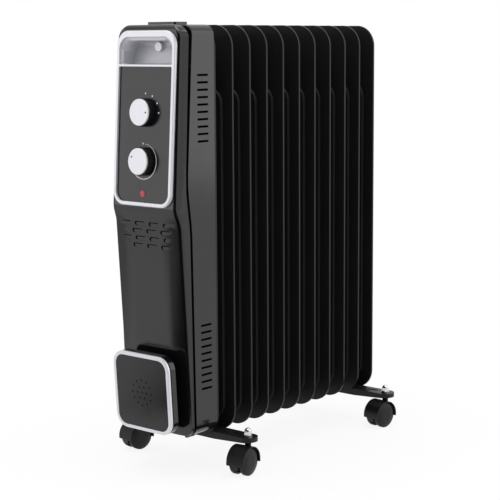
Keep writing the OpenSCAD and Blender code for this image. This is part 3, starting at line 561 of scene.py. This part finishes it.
class Pattern:
    """A geometry node tree with named inputs, and what it grows."""

    def __init__(self, name: str, lengths: tuple[str, ...], counts: tuple[str, ...] = ()) -> None:
        """Starts a tree with its inputs and its input node.

        Args:
            name: name of the tree.
            lengths: names of its inputs that are lengths or angles.
            counts: names of its inputs that are whole numbers.
        """
        self.tree = bpy.data.node_groups.new(name, "GeometryNodeTree")
        self.keys: dict[str, str] = {}
        faces = self.tree.interface
        faces.new_socket("Geometry", in_out="INPUT", socket_type="NodeSocketGeometry")
        faces.new_socket("Geometry", in_out="OUTPUT", socket_type="NodeSocketGeometry")
        kinds = {**dict.fromkeys(lengths, "NodeSocketFloat"), **dict.fromkeys(counts, "NodeSocketInt"),
                 "Finish": "NodeSocketMaterial"}
        for key, kind in kinds.items():
            self.keys[key] = faces.new_socket(key, in_out="INPUT", socket_type=kind).identifier
        self.given = add_node(self.tree, "NodeGroupInput").outputs

    def end(self, grown: bpy.types.NodeSocket) -> None:
        """Ends the tree in real geometry with its finish.

        Args:
            grown: the geometry to be shown.
        """
        real = add_node(self.tree, "GeometryNodeRealizeInstances", links={0: grown})
        finished = add_node(self.tree, "GeometryNodeSetMaterial",
                            links={"Geometry": real.outputs[0], "Material": self.given["Finish"]})
        add_node(self.tree, "NodeGroupOutput", links={0: finished.outputs[0]})

    def grow(self, name: str, anchors: list[Vector], finish: Finish, slot: Slot, body: str = MAIN_BODY,
             place: Matrix | None = None, **sizes: float) -> bpy.types.Object:
        """Runs the tree on anchor points and keeps the result as a plain mesh.

        Args:
            name: name of the piece.
            anchors: points that the pattern starts from.
            finish: the piece's finish.
            slot: the record's material slot, not used here.
            body: the CAD body that it rides on.
            place: where the result goes, or None to leave it.
            sizes: values of the tree's inputs by name.

        Returns:
            The piece.
        """
        seed = bpy.data.meshes.new(f"{name}_seed")
        seed.from_pydata([tuple(a) for a in anchors], [], [])
        host = add_object(f"{name}_host", seed)
        modifier = host.modifiers.new("pattern", "NODES")
        modifier.node_group = self.tree
        for key, value in {**sizes, "Finish": finish.material()}.items():
            modifier[self.keys[key]] = value
        shown = host.evaluated_get(bpy.context.evaluated_depsgraph_get())
        mesh = bpy.data.meshes.new_from_object(shown)
        mesh.name = name
        bpy.data.objects.remove(host)
        if place is not None:
            mesh.transform(place)
        piece = add_object(name, mesh)
        enlist(piece, body)
        return piece


def weld_ring_pattern() -> Pattern:
    """Rings of overlapping weld beads about the Y axis, one ring at each anchor.

    Returns:
        The pattern, with the inputs Radius, Bead, Count and Finish.
    """
    made = Pattern("weld_ring", ("Radius", "Bead"), counts=("Count",))
    tree, given = made.tree, made.given
    circle = add_node(tree, "GeometryNodeCurvePrimitiveCircle",
                      links={"Radius": given["Radius"], "Resolution": given["Count"]})
    upright = add_node(tree, "GeometryNodeTransform", {"Rotation": (math.radians(90), 0.0, 0.0)},
                       {"Geometry": circle.outputs["Curve"]})
    bead = add_node(tree, "GeometryNodeMeshIcoSphere", {"Subdivisions": 1}, {"Radius": given["Bead"]})
    beads = add_node(tree, "GeometryNodeInstanceOnPoints", {"Scale": (1.0, BEAD_WIDTH, 1.0)},
                     {"Points": upright.outputs["Geometry"], "Instance": bead.outputs["Mesh"]})
    rings = add_node(tree, "GeometryNodeInstanceOnPoints",
                     links={"Points": given["Geometry"], "Instance": beads.outputs["Instances"]})
    made.end(rings.outputs["Instances"])
    return made


def dial_arc_pattern() -> Pattern:
    """Printed arc round a dial that grows wider along its length.

    Returns:
        The pattern, with the inputs Radius, Start, Sweep, Thin, Thick, Ink and Finish.
    """
    made = Pattern("dial_arc", ("Radius", "Start", "Sweep", "Thin", "Thick", "Ink"))
    tree, given = made.tree, made.given
    arc = add_node(tree, "GeometryNodeCurveArc", {"Resolution": ARC_STEPS},
                   {"Radius": given["Radius"], "Start Angle": given["Start"], "Sweep Angle": given["Sweep"]},
                   mode="RADIUS")
    along = add_node(tree, "GeometryNodeSplineParameter")
    width = add_node(tree, "ShaderNodeMapRange",
                     links={"Value": along.outputs["Factor"], "To Min": given["Thin"],
                            "To Max": given["Thick"]})
    section = add_node(tree, "GeometryNodeCurvePrimitiveLine",
                       {"Start": (-0.5, 0.0, 0.0), "End": (0.5, 0.0, 0.0)})
    ribbon = add_node(tree, "GeometryNodeCurveToMesh",
                      links={"Curve": arc.outputs["Curve"], "Profile Curve": section.outputs["Curve"],
                             "Scale": width.outputs["Result"]})
    raised = add_node(tree, "GeometryNodeExtrudeMesh", {"Individual": False},
                      {"Mesh": ribbon.outputs["Mesh"], "Offset Scale": given["Ink"]})
    made.end(raised.outputs["Mesh"])
    return made


def dial_mark_pattern() -> Pattern:
    """Printed round marks, one at each anchor.

    Returns:
        The pattern, with the inputs Radius, Ink and Finish.
    """
    made = Pattern("dial_mark", ("Radius", "Ink"))
    tree, given = made.tree, made.given
    disc = add_node(tree, "GeometryNodeMeshCylinder", {"Vertices": MARK_SIDES},
                    {"Radius": given["Radius"], "Depth": given["Ink"]})
    marks = add_node(tree, "GeometryNodeInstanceOnPoints",
                     links={"Points": given["Geometry"], "Instance": disc.outputs["Mesh"]})
    made.end(marks.outputs["Instances"])
    return made


# ---------- sub-assemblies ----------


@dataclass
class OilVessel:
    """Eleven pressed fins welded into one vessel, with its fittings."""

    rim_edging: Edging = Edging(radius_mm=0.4, steps=2)
    neck: float = 20 * MM                 # radius of the necks, which the welds go round
    bead: float = 1.1 * MM
    beads: int = 72

    def build(self) -> list[bpy.types.Object]:
        """Dresses the fins, their welds and the fittings.

        Returns:
            The shown pieces.
        """
        fins = [f"fin_{k + 1:02d}" for k in range(FIN_COUNT)]
        shown = [dress(fin, STOVE_ENAMEL, edging=self.rim_edging) for fin in fins]
        shown.append(self.neck_welds(fins))
        for node in ("oil_filler_plug", "heating_element", "element_terminals"):
            paint(node, ZINC_STEEL)
        return shown

    def neck_welds(self, fins: list[str]) -> bpy.types.Object:
        """Weld beads where the necks of two fins meet.

        Args:
            fins: names of the fins from front to back.

        Returns:
            The beads as one piece.
        """
        plug, element = centre_of("oil_filler_plug"), centre_of("heating_element")
        anchors = []
        for ahead, behind in zip(fins, fins[1:]):
            joint = (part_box(ahead)[1].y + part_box(behind)[0].y) / 2
            anchors += [Vector((0, joint, plug.z)), Vector((0, joint, element.z))]
        return weld_ring_pattern().grow("neck_welds", anchors, STOVE_ENAMEL, Slot.FIN_PAINT,
                                        Radius=self.neck, Bead=self.bead, Count=self.beads)


@dataclass
class FrontCover:
    """Front housing, with fuller sides and rounder top corners than in the CAD model."""

    edging: Edging
    corner: float = 15 * MM               # radius of the CAD cover's corners
    top_corner: float = 25 * MM           # radius of the shown cover's top corners
    height: float = 570 * MM
    # how far the sides are filled out, by the distance from the side, above and below the kink
    above_mm: tuple[tuple[float, float], ...] = (
        (0, 0), (6, 3.8), (6.3, 3.3), (7.1, 3.4), (8.3, 4.1), (10, 5.0), (11.9, 5.2), (14, 4.5), (30, 0))
    below_mm: tuple[tuple[float, float], ...] = (
        (0, 0), (6, 5.3), (7.1, 5.7), (8.3, 6.1), (10, 6.5), (11.9, 6.6), (14, 4.5), (30, 0))
    kink_low: float = 351 * MM
    kink_high: float = 381 * MM

    def build(self) -> bpy.types.Object:
        """Dresses the cover.

        Returns:
            The shown piece.
        """
        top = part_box("front_cover")[1]

        def place(point: Vector) -> Vector:
            """Moves a point outward, and inward at the top corners."""
            across, up = self.round_corner(abs(point.x) + self.fill_out(point, top), point.z, top)
            return Vector((math.copysign(across, point.x), point.y, up))

        return dress("front_cover", POLISHED_ABS, edging=self.edging, shape=place)

    def fill_out(self, point: Vector, top: Vector) -> float:
        """How far a point of the cover moves away from its middle.

        Args:
            point: the point in the CAD cover.
            top: the highest corner of the CAD cover's box.

        Returns:
            The distance, which grows from nothing at the side and fades out 30 mm inside it.
        """
        past = max(top.z - self.height + self.corner - point.z, point.z - top.z + self.corner, 0.0)
        side = top.x - self.corner + math.sqrt(max(0.0, self.corner ** 2 - past ** 2))
        inside = (side - abs(point.x)) / MM
        share = max(0.0, min(1.0, (point.z - self.kink_low) / (self.kink_high - self.kink_low)))
        return MM * (between(self.above_mm, inside) * share + between(self.below_mm, inside) * (1 - share))

    def round_corner(self, across: float, up: float, top: Vector) -> tuple[float, float]:
        """Takes a point at a top corner in, so that the corner's arc gets its larger radius.

        Args:
            across: distance from the cover's middle.
            up: height.
            top: the highest corner of the CAD cover's box.

        Returns:
            The new distance and height.
        """
        u, v = across - top.x + self.top_corner, up - top.z + self.top_corner
        if u <= 0 or v <= 0:
            return across, up
        gap, length = self.top_corner - self.corner, math.hypot(u, v)
        if self.top_corner * min(u, v) <= gap * max(u, v):
            outline = self.top_corner * length / max(u, v)
        else:
            along = gap * (u + v) / length
            outline = along + math.sqrt(along ** 2 - 2 * gap ** 2 + self.corner ** 2)
        shrink = self.top_corner / outline
        return top.x - self.top_corner + u * shrink, top.z - self.top_corner + v * shrink


@dataclass
class LouvreShadeStrips:
    """Painted shade: narrow dark strips along the upper and left edges of the front cover's closed louvres,
    where shade falls.
    """

    rows: int = 4
    columns: int = 4
    first_row: float = 356 * MM           # height of the first row
    rise: float = 10.3 * MM
    pitch: float = 27 * MM
    shift: float = 2.7 * MM               # sideways shift of the rows, to either side in turn
    half: float = 7 * MM                  # half the straight part of a louvre
    radius: float = 3 * MM
    width: float = 1.2 * MM
    inset: float = 0.4 * MM
    stand: float = 0.06 * MM
    ahead: float = 1.0                    # a place in front of the cover, where the rays start
    turn: tuple[int, ...] = tuple(range(90, 211, 15))   # directions round a louvre's left end

    def outline(self) -> list[tuple[Vector, Vector]]:
        """Path of a painted shade strip about its louvre's middle.

        Returns:
            The path's points, each with the direction across the strip.
        """
        middle = self.radius - self.inset - self.width / 2
        up, end = Vector((0, 0, 1)), Vector((-self.half, 0, 0))
        path = [(Vector((self.half, 0, middle)), up)]
        for angle in map(math.radians, self.turn):
            out = Vector((math.cos(angle), 0, math.sin(angle)))
            path.append((end + out * middle, out))
        return path

    def build(self) -> bpy.types.Object:
        """Lays the painted shade strips on the front cover.

        Returns:
            The piece.
        """
        skin = merged_copy("front_cover")
        cover = BVHTree.FromBMesh(skin)
        skin.free()
        path = self.outline()
        verts, faces = [], []
        for row in range(self.rows):
            for column in range(self.columns):
                middle = Vector(((column - (self.columns - 1) / 2) * self.pitch + self.shift * (-1) ** row,
                                 -self.ahead, self.first_row - row * self.rise))
                start = len(verts)
                for spot, out in path:
                    for side in (-self.width / 2, self.width / 2):
                        hit = cover.ray_cast(middle + spot + out * side, Vector((0, 1, 0)))[0]
                        verts.append((hit.x, hit.y - self.stand, hit.z))
                faces += [(start + k, start + k + 1, start + k + 3, start + k + 2)
                          for k in range(0, 2 * (len(path) - 1), 2)]
        mesh = bpy.data.meshes.new("louvre_shade_strips")
        mesh.from_pydata(verts, [], faces)
        mesh.materials.append(SLIT_SHADE.material())
        piece = add_object("louvre_shade_strips", mesh)
        enlist(piece, MAIN_BODY)
        return piece


@dataclass
class ControlHousing:
    """Rear cover, front cover and what they hold."""

    edging: Edging = Edging(radius_mm=0.35, steps=2, from_degrees=40, shortest_mm=0.25)

    def build(self) -> list[bpy.types.Object]:
        """Dresses the covers and paints the inner parts.

        Returns:
            The shown pieces.
        """
        shown = [dress("rear_cover", POLISHED_ABS, edging=self.edging),
                 FrontCover(self.edging).build(),
                 # near-black painted shade strips along the louvres' upper and left edges
                 LouvreShadeStrips().build(),
                 dress("top_cap", POLISHED_ABS, edging=SOFT),
                 dress("cord_bush", BUSH_RUBBER)]
        for node in ("thermal_cutout", "cover_screw", "thermostat"):
            paint(node, ZINC_STEEL)
        for node in ("terminal_block", "heat_switch"):
            paint(node, MOULDED_POLYAMIDE)
        return shown


@dataclass
class ControlPanel:
    """Silver frame, handle recess, dark inlay, two knobs with dials, and the lamp."""

    disc_edging: Edging = Edging(radius_mm=0.4)
    knob_stand: float = 5.5 * MM          # from the inlay's face to the middle of a knob
    disc_front: float = 11.56 * MM        # from the inlay's face to the floor of a knob's pointer dimple
    # this thickness also serves the painted shade dots in the pointer dimples
    ink: float = 0.12 * MM                # how far the printed ink stands up
    mark_size: float = 1.3 * MM
    # the dials, with each angle in degrees on a clock from straight up
    mark_radius: float = 26 * MM
    settings: tuple[float, ...] = (0, 30, 60, 90)
    start_radius: float = 24.6 * MM
    start_at: float = -5
    arc_radius: float = 24.1 * MM
    arc_from: float = 5
    arc_to: float = 236
    arc_thin: float = 0.5 * MM
    arc_thick: float = 1.9 * MM
    pointer_radius: float = 13 * MM
    pointer_size: float = 1.4 * MM
    switch_at: float = 90
    thermostat_at: float = -63

    def dial_frame(self, knob: str) -> Matrix:
        """Frame on the inlay's face at a knob: x across, y up the panel, z out.

        Args:
            knob: name of the knob's CAD node.

        Returns:
            The frame's matrix.
        """
        out = Vector((0, -math.cos(LEAN), math.sin(LEAN)))
        turned = Matrix.Rotation(math.radians(90) - LEAN, 4, "X")
        return Matrix.Translation(centre_of(knob) - out * self.knob_stand) @ turned

    def on_clock(self, radius: float, degrees: float) -> Vector:
        """Point of a dial at an angle on a clock from straight up."""
        angle = math.radians(degrees)
        return Vector((radius * math.sin(angle), radius * math.cos(angle), 0))

    def build(self) -> list[bpy.types.Object]:
        """Dresses the panel's pieces and prints its dials.

        Returns:
            The shown pieces.
        """
        switch, thermostat = "heat_switch_knob", "thermostat_control"
        shown = [dress("control_frame", SILVER_LACQUER, edging=SOFT),
                 # the handle cup gets the silver with the recess's painted shade
                 dress("handle_cup", SHADED_RECESS_LACQUER),
                 dress("screw_cap", SILVER_LACQUER),
                 dress("control_panel", LACQUERED_INLAY, edging=CRISP),
                 dress("indicator_lamp", RED_ACRYLIC),
                 dress("switch_knob", GRAINED_ABS, switch, CRISP),
                 dress("switch_knob_disc", SILVER_LACQUER, switch, self.disc_edging),
                 dress("thermostat_knob", GRAINED_ABS, thermostat, CRISP),
                 dress("thermostat_knob_disc", SILVER_LACQUER, thermostat, self.disc_edging)]
        for node in ("switch_shaft", "thermostat_shaft"):
            paint(node, ZINC_STEEL)
        marks = dial_mark_pattern()
        return [*shown, *self.dials(marks),
                self.pointer(marks, "switch_knob", switch, self.switch_at),
                self.pointer(marks, "thermostat_knob", thermostat, self.thermostat_at)]

    def dials(self, marks: Pattern) -> list[bpy.types.Object]:
        """Prints the switch's marks and the thermostat's growing arc.

        Args:
            marks: the pattern of round marks.

        Returns:
            The printed pieces.
        """
        around = [self.on_clock(self.mark_radius, degrees) for degrees in self.settings]
        switch = marks.grow("switch_marks", around, PRINT_INK, Slot.PANEL,
                            place=self.dial_frame("switch_knob"), Radius=self.mark_size, Ink=self.ink)
        place = self.dial_frame("thermostat_knob")
        start = marks.grow("thermostat_mark", [self.on_clock(self.start_radius, self.start_at)], PRINT_INK,
                           Slot.PANEL, place=place, Radius=self.mark_size, Ink=self.ink)
        arc = dial_arc_pattern().grow(
            "thermostat_arc", [Vector((0, 0, 0))], PRINT_INK, Slot.PANEL, place=place,
            Radius=self.arc_radius, Start=math.radians(90 - self.arc_from),
            Sweep=-math.radians(self.arc_to - self.arc_from), Thin=self.arc_thin, Thick=self.arc_thick,
            Ink=self.ink)
        return [switch, start, arc]

    def pointer(self, marks: Pattern, knob: str, body: str, degrees: float) -> bpy.types.Object:
        """Paints shade on the floor of the dimple that points to a knob's setting.

        Args:
            marks: the pattern of round marks.
            knob: name of the knob's CAD node.
            body: the CAD body that the knob turns with.
            degrees: where the dimple is, on a clock from straight up.

        Returns:
            The painted shade.
        """
        place = self.dial_frame(knob) @ Matrix.Translation((0, 0, self.disc_front))
        # a near-black dot of painted shade on the floor of the pointer dimple
        return marks.grow(f"{knob}_pointer", [self.on_clock(self.pointer_radius, degrees)], DIMPLE_SHADE,
                          Slot.SILVER, body, place, Radius=self.pointer_size, Ink=self.ink)


@dataclass
class CordWinder:
    """Spool, silver ring and dark inlay under the control panel."""

    edging: Edging = Edging(radius_mm=0.6, steps=3)
    face_edging: Edging = Edging(radius_mm=0.25)
    ahead: float = 4.5 * MM               # how much further forward the plate stands than in the CAD model
    neck_from: float = 12.5 * MM          # from the plate's face back to the end and to the root of its neck
    neck_to: float = 18.5 * MM

    def bring_forward(self) -> Place:
        """Makes the function that lengthens the spool's neck and carries its plate forward.

        Returns:
            A function from a point of the CAD winder to its place in the shown winder.
        """
        low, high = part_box("winder_face")
        front, out = Vector((0, low.y, high.z)), Vector((0, -math.cos(LEAN), -math.sin(LEAN)))

        def place(point: Vector) -> Vector:
            """Moves a point of the plate forward, and stretches the neck behind it."""
            share = (self.neck_to - (front - point).dot(out)) / (self.neck_to - self.neck_from)
            return point + out * (self.ahead * max(0.0, min(1.0, share)))

        return place

    def build(self) -> list[bpy.types.Object]:
        """Dresses the winder.

        Returns:
            The shown pieces.
        """
        place = self.bring_forward()
        return [dress("winder_spool", POLISHED_ABS, edging=self.edging, shape=place),
                dress("winder_ring", SILVER_LACQUER, edging=self.edging, shape=place),
                dress("winder_face", LACQUERED_INLAY, edging=self.face_edging, shape=place)]


@dataclass
class FootBrackets:
    """Pressed brackets across the heater, clamped under the first and last gaps between fins."""

    edging: Edging = Edging(radius_mm=0.6, steps=3)

    def build(self) -> list[bpy.types.Object]:
        """Dresses the brackets and their clamps.

        Returns:
            The shown pieces.
        """
        shown = [dress(f"{row}_bracket", STOVE_ENAMEL, edging=self.edging)
                 for row in ("front", "rear")]
        shown += [dress(node, ZINC_STEEL) for node in ("u_bolts", "wing_nuts", "caster_stems")]
        return [*shown, dress("dome_nuts", CHROME_PLATE, edging=CRISP)]


@dataclass
class Caster:
    """Hooded caster with two wheels at one corner."""

    corner: str

    def build(self) -> list[bpy.types.Object]:
        """Dresses the hood and the wheels and paints the axle.

        Returns:
            The shown pieces.
        """
        shown = [dress(f"hood_{self.corner}", CASTER_NYLON, f"caster_{self.corner}")]
        shown += [dress(f"{side}_wheel_{self.corner}", CASTER_NYLON,
                        f"rolling_{side}_wheel_{self.corner}") for side in ("outer", "inner")]
        paint(f"axle_{self.corner}", ZINC_STEEL)
        return shown


# ---------- studio ----------


@dataclass
class Camera:
    """Camera at the height of the heater's top, to the right of its front."""

    place: tuple[float, float, float] = (1.3988, -1.6208, 0.6043)
    azimuth: float = 40.82
    down: float = 8.24
    roll: float = -0.35
    lens_mm: float = 103.58
    sensor_mm: float = 36.0
    clip: float = 0.05

    def build(self) -> bpy.types.Object:
        """Makes the camera and gives it to the scene.

        Returns:
            The camera.
        """
        data = bpy.data.cameras.new("camera")
        data.lens, data.sensor_width, data.clip_start = self.lens_mm, self.sensor_mm, self.clip
        made = add_object("camera", data)
        turn, down, roll = (math.radians(angle) for angle in (self.azimuth, self.down, self.roll))
        back = Vector((math.sin(turn) * math.cos(down), -math.cos(turn) * math.cos(down), math.sin(down)))
        level = Vector((math.cos(turn), math.sin(turn), 0))
        steep = back.cross(level)
        right = level * math.cos(roll) + steep * math.sin(roll)
        up = steep * math.cos(roll) - level * math.sin(roll)
        made.matrix_world = Matrix.Translation(self.place) @ Matrix((right, up, back)).transposed().to_4x4()
        bpy.context.scene.camera = made
        return made


@dataclass
class SoftBox:
    """Large lamp aimed at the heater."""

    name: str
    place: tuple[float, float, float]
    width: float
    height: float
    watts: float
    aim: tuple[float, float, float] = (0.0, 0.0, 0.3)

    def build(self) -> bpy.types.Object:
        """Makes the lamp.

        Returns:
            The lamp.
        """
        data = bpy.data.lights.new(self.name, "AREA")
        data.shape, data.size, data.size_y = "RECTANGLE", self.width, self.height
        data.energy = self.watts
        made = add_object(self.name, data)
        made.location = self.place
        made.rotation_euler = (Vector(self.aim) - Vector(self.place)).to_track_quat("-Z", "Y").to_euler()
        return made


@dataclass
class FeltCard:
    """Dark card round one side of the heater, lying and standing, seen only in reflections.

    It is clear at its first bearing, dark from the second to the third, and clear at the fourth. Bearings are
    degrees from -Y towards +X.
    """

    name: str
    clear_from: float
    dark_from: float
    dark_to: float
    clear_to: float
    depth: float = 1.0
    inner: float = 0.45                   # radius at which its lying part starts
    radius: float = 2.6
    lift: float = 0.002                   # how far the lying part is above the floor
    top: float = 2.5
    steps: int = 48
    felt: str = "101010"

    def fade(self, bearing: float) -> float:
        """How dark the card is at a bearing.

        Args:
            bearing: degrees from -Y towards +X.

        Returns:
            A share from 0 to the card's depth, with smooth ends.
        """
        t = min((bearing - self.clear_from) / (self.dark_from - self.clear_from),
                (self.clear_to - bearing) / (self.clear_to - self.dark_to), 1.0)
        return self.depth * t * t * (3 - 2 * t)

    def build(self) -> bpy.types.Object:
        """Makes the card.

        Returns:
            The card.
        """
        section = [(self.inner, self.lift), (self.radius, self.lift), (self.radius, self.top)]
        step = (self.clear_to - self.clear_from) / self.steps
        bearings = [self.clear_from + step * k for k in range(self.steps + 1)]
        around = [(math.sin(math.radians(b)), -math.cos(math.radians(b))) for b in bearings]
        verts = [(radius * x, radius * y, z) for x, y in around for radius, z in section]
        corners = len(section)
        faces = [(k, k + 1, k + 1 + corners, k + corners)
                 for start in range(0, corners * self.steps, corners)
                 for k in range(start, start + corners - 1)]
        mesh = bpy.data.meshes.new(self.name)
        mesh.from_pydata(verts, [], faces)
        dark = mesh.attributes.new("fade", "FLOAT", "POINT")
        for k in range(len(verts)):
            dark.data[k].value = self.fade(bearings[k // corners])
        mesh.materials.append(self.material())
        made = add_object(self.name, mesh)
        made.visible_camera = made.visible_diffuse = made.visible_shadow = made.visible_transmission = False
        made.visible_volume_scatter = False
        return made

    def material(self) -> bpy.types.Material:
        """Black felt that fades out towards the card's ends.

        Returns:
            The card's material.
        """
        made = bpy.data.materials.new(f"{self.name}_felt")
        made.use_nodes = True
        tree = made.node_tree
        tree.nodes.clear()
        fade = add_node(tree, "ShaderNodeAttribute", attribute_name="fade")
        clear = add_node(tree, "ShaderNodeBsdfTransparent")
        dark = add_node(tree, "ShaderNodeEmission", {"Color": linear(self.felt), "Strength": 1.0})
        mixed = add_node(tree, "ShaderNodeMixShader",
                         links={0: fade.outputs["Fac"], 1: clear.outputs[0], 2: dark.outputs[0]})
        add_node(tree, "ShaderNodeOutputMaterial", links={"Surface": mixed.outputs[0]})
        return made


@dataclass
class Studio:
    """Pale floor, white surroundings, soft lamps, and felt cards that the dark parts mirror."""

    floor_side: float = 14.0
    floor_finish: WhiteFloor = WhiteFloor("matt_white_floor", "F2F2F2", "EFEFEF", roughness=0.9, cloud_mm=400,
                                          grain_mm=3, grain_um=5, near=0.25, far=0.8, near_white=0.88)
    world_level: float = 0.75             # how brightly the surroundings light matt surfaces
    cards: tuple[FeltCard, ...] = (
        FeltCard("black_card", -34, -18, 48, 74),
        FeltCard("grey_card", -140, -110, -58, -44, depth=0.5),
    )
    lamps: tuple[SoftBox, ...] = (
        SoftBox("left_soft_box", (-2.1, -2.2, 0.95), width=2.6, height=1.8, watts=13.5),
        SoftBox("right_soft_box", (2.7, 1.7, 1.3), width=3.6, height=2.6, watts=24.0),
        SoftBox("top_soft_box", (0.0, -0.2, 2.9), width=2.2, height=2.2, watts=40.0),
    )

    def build(self) -> None:
        """Makes the whole studio."""
        Camera().build()
        self.floor()
        self.surroundings()
        for card in self.cards:
            card.build()
        for lamp in self.lamps:
            lamp.build()
        bpy.context.scene.view_settings.view_transform = "Standard"

    def floor(self) -> bpy.types.Object:
        """Makes the pale floor with a fine matt grain.

        Returns:
            The floor.
        """
        half = self.floor_side / 2
        corners = [(-half, -half, 0), (half, -half, 0), (half, half, 0), (-half, half, 0)]
        mesh = bpy.data.meshes.new("floor")
        mesh.from_pydata(corners, [], [(0, 1, 2, 3)])
        mesh.materials.append(self.floor_finish.material())
        made = add_object("floor", mesh)
        return made

    def surroundings(self) -> None:
        """White to the eye and in reflections, plain soft light on matt surfaces."""
        world = bpy.data.worlds.new("white_room")
        bpy.context.scene.world = world
        world.use_nodes = True
        tree = world.node_tree
        tree.nodes.clear()
        level = add_node(tree, "ShaderNodeMapRange", {"To Min": self.world_level, "To Max": 1.0},
                         {"Value": seen_straight(tree)})
        light = add_node(tree, "ShaderNodeBackground", {"Color": linear("FFFFFF")},
                         {"Strength": level.outputs["Result"]})
        add_node(tree, "ShaderNodeOutputWorld", links={"Surface": light.outputs["Background"]})


# ---------- whole heater ----------


def main() -> None:
    """Builds the studio and the heater's sub-assemblies in order and reports each piece."""
    logging.basicConfig(level=logging.INFO, format="%(name)s: %(message)s")
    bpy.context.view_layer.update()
    Studio().build()
    for part in (OilVessel(), ControlHousing(), ControlPanel(), CordWinder(), FootBrackets(),
                 *(Caster(corner) for corner in CORNERS)):
        for piece in part.build():
            LOG.info("%s: %s, %d faces", type(part).__name__, piece.name, len(piece.data.polygons))


if __name__ == "__main__":
    main()
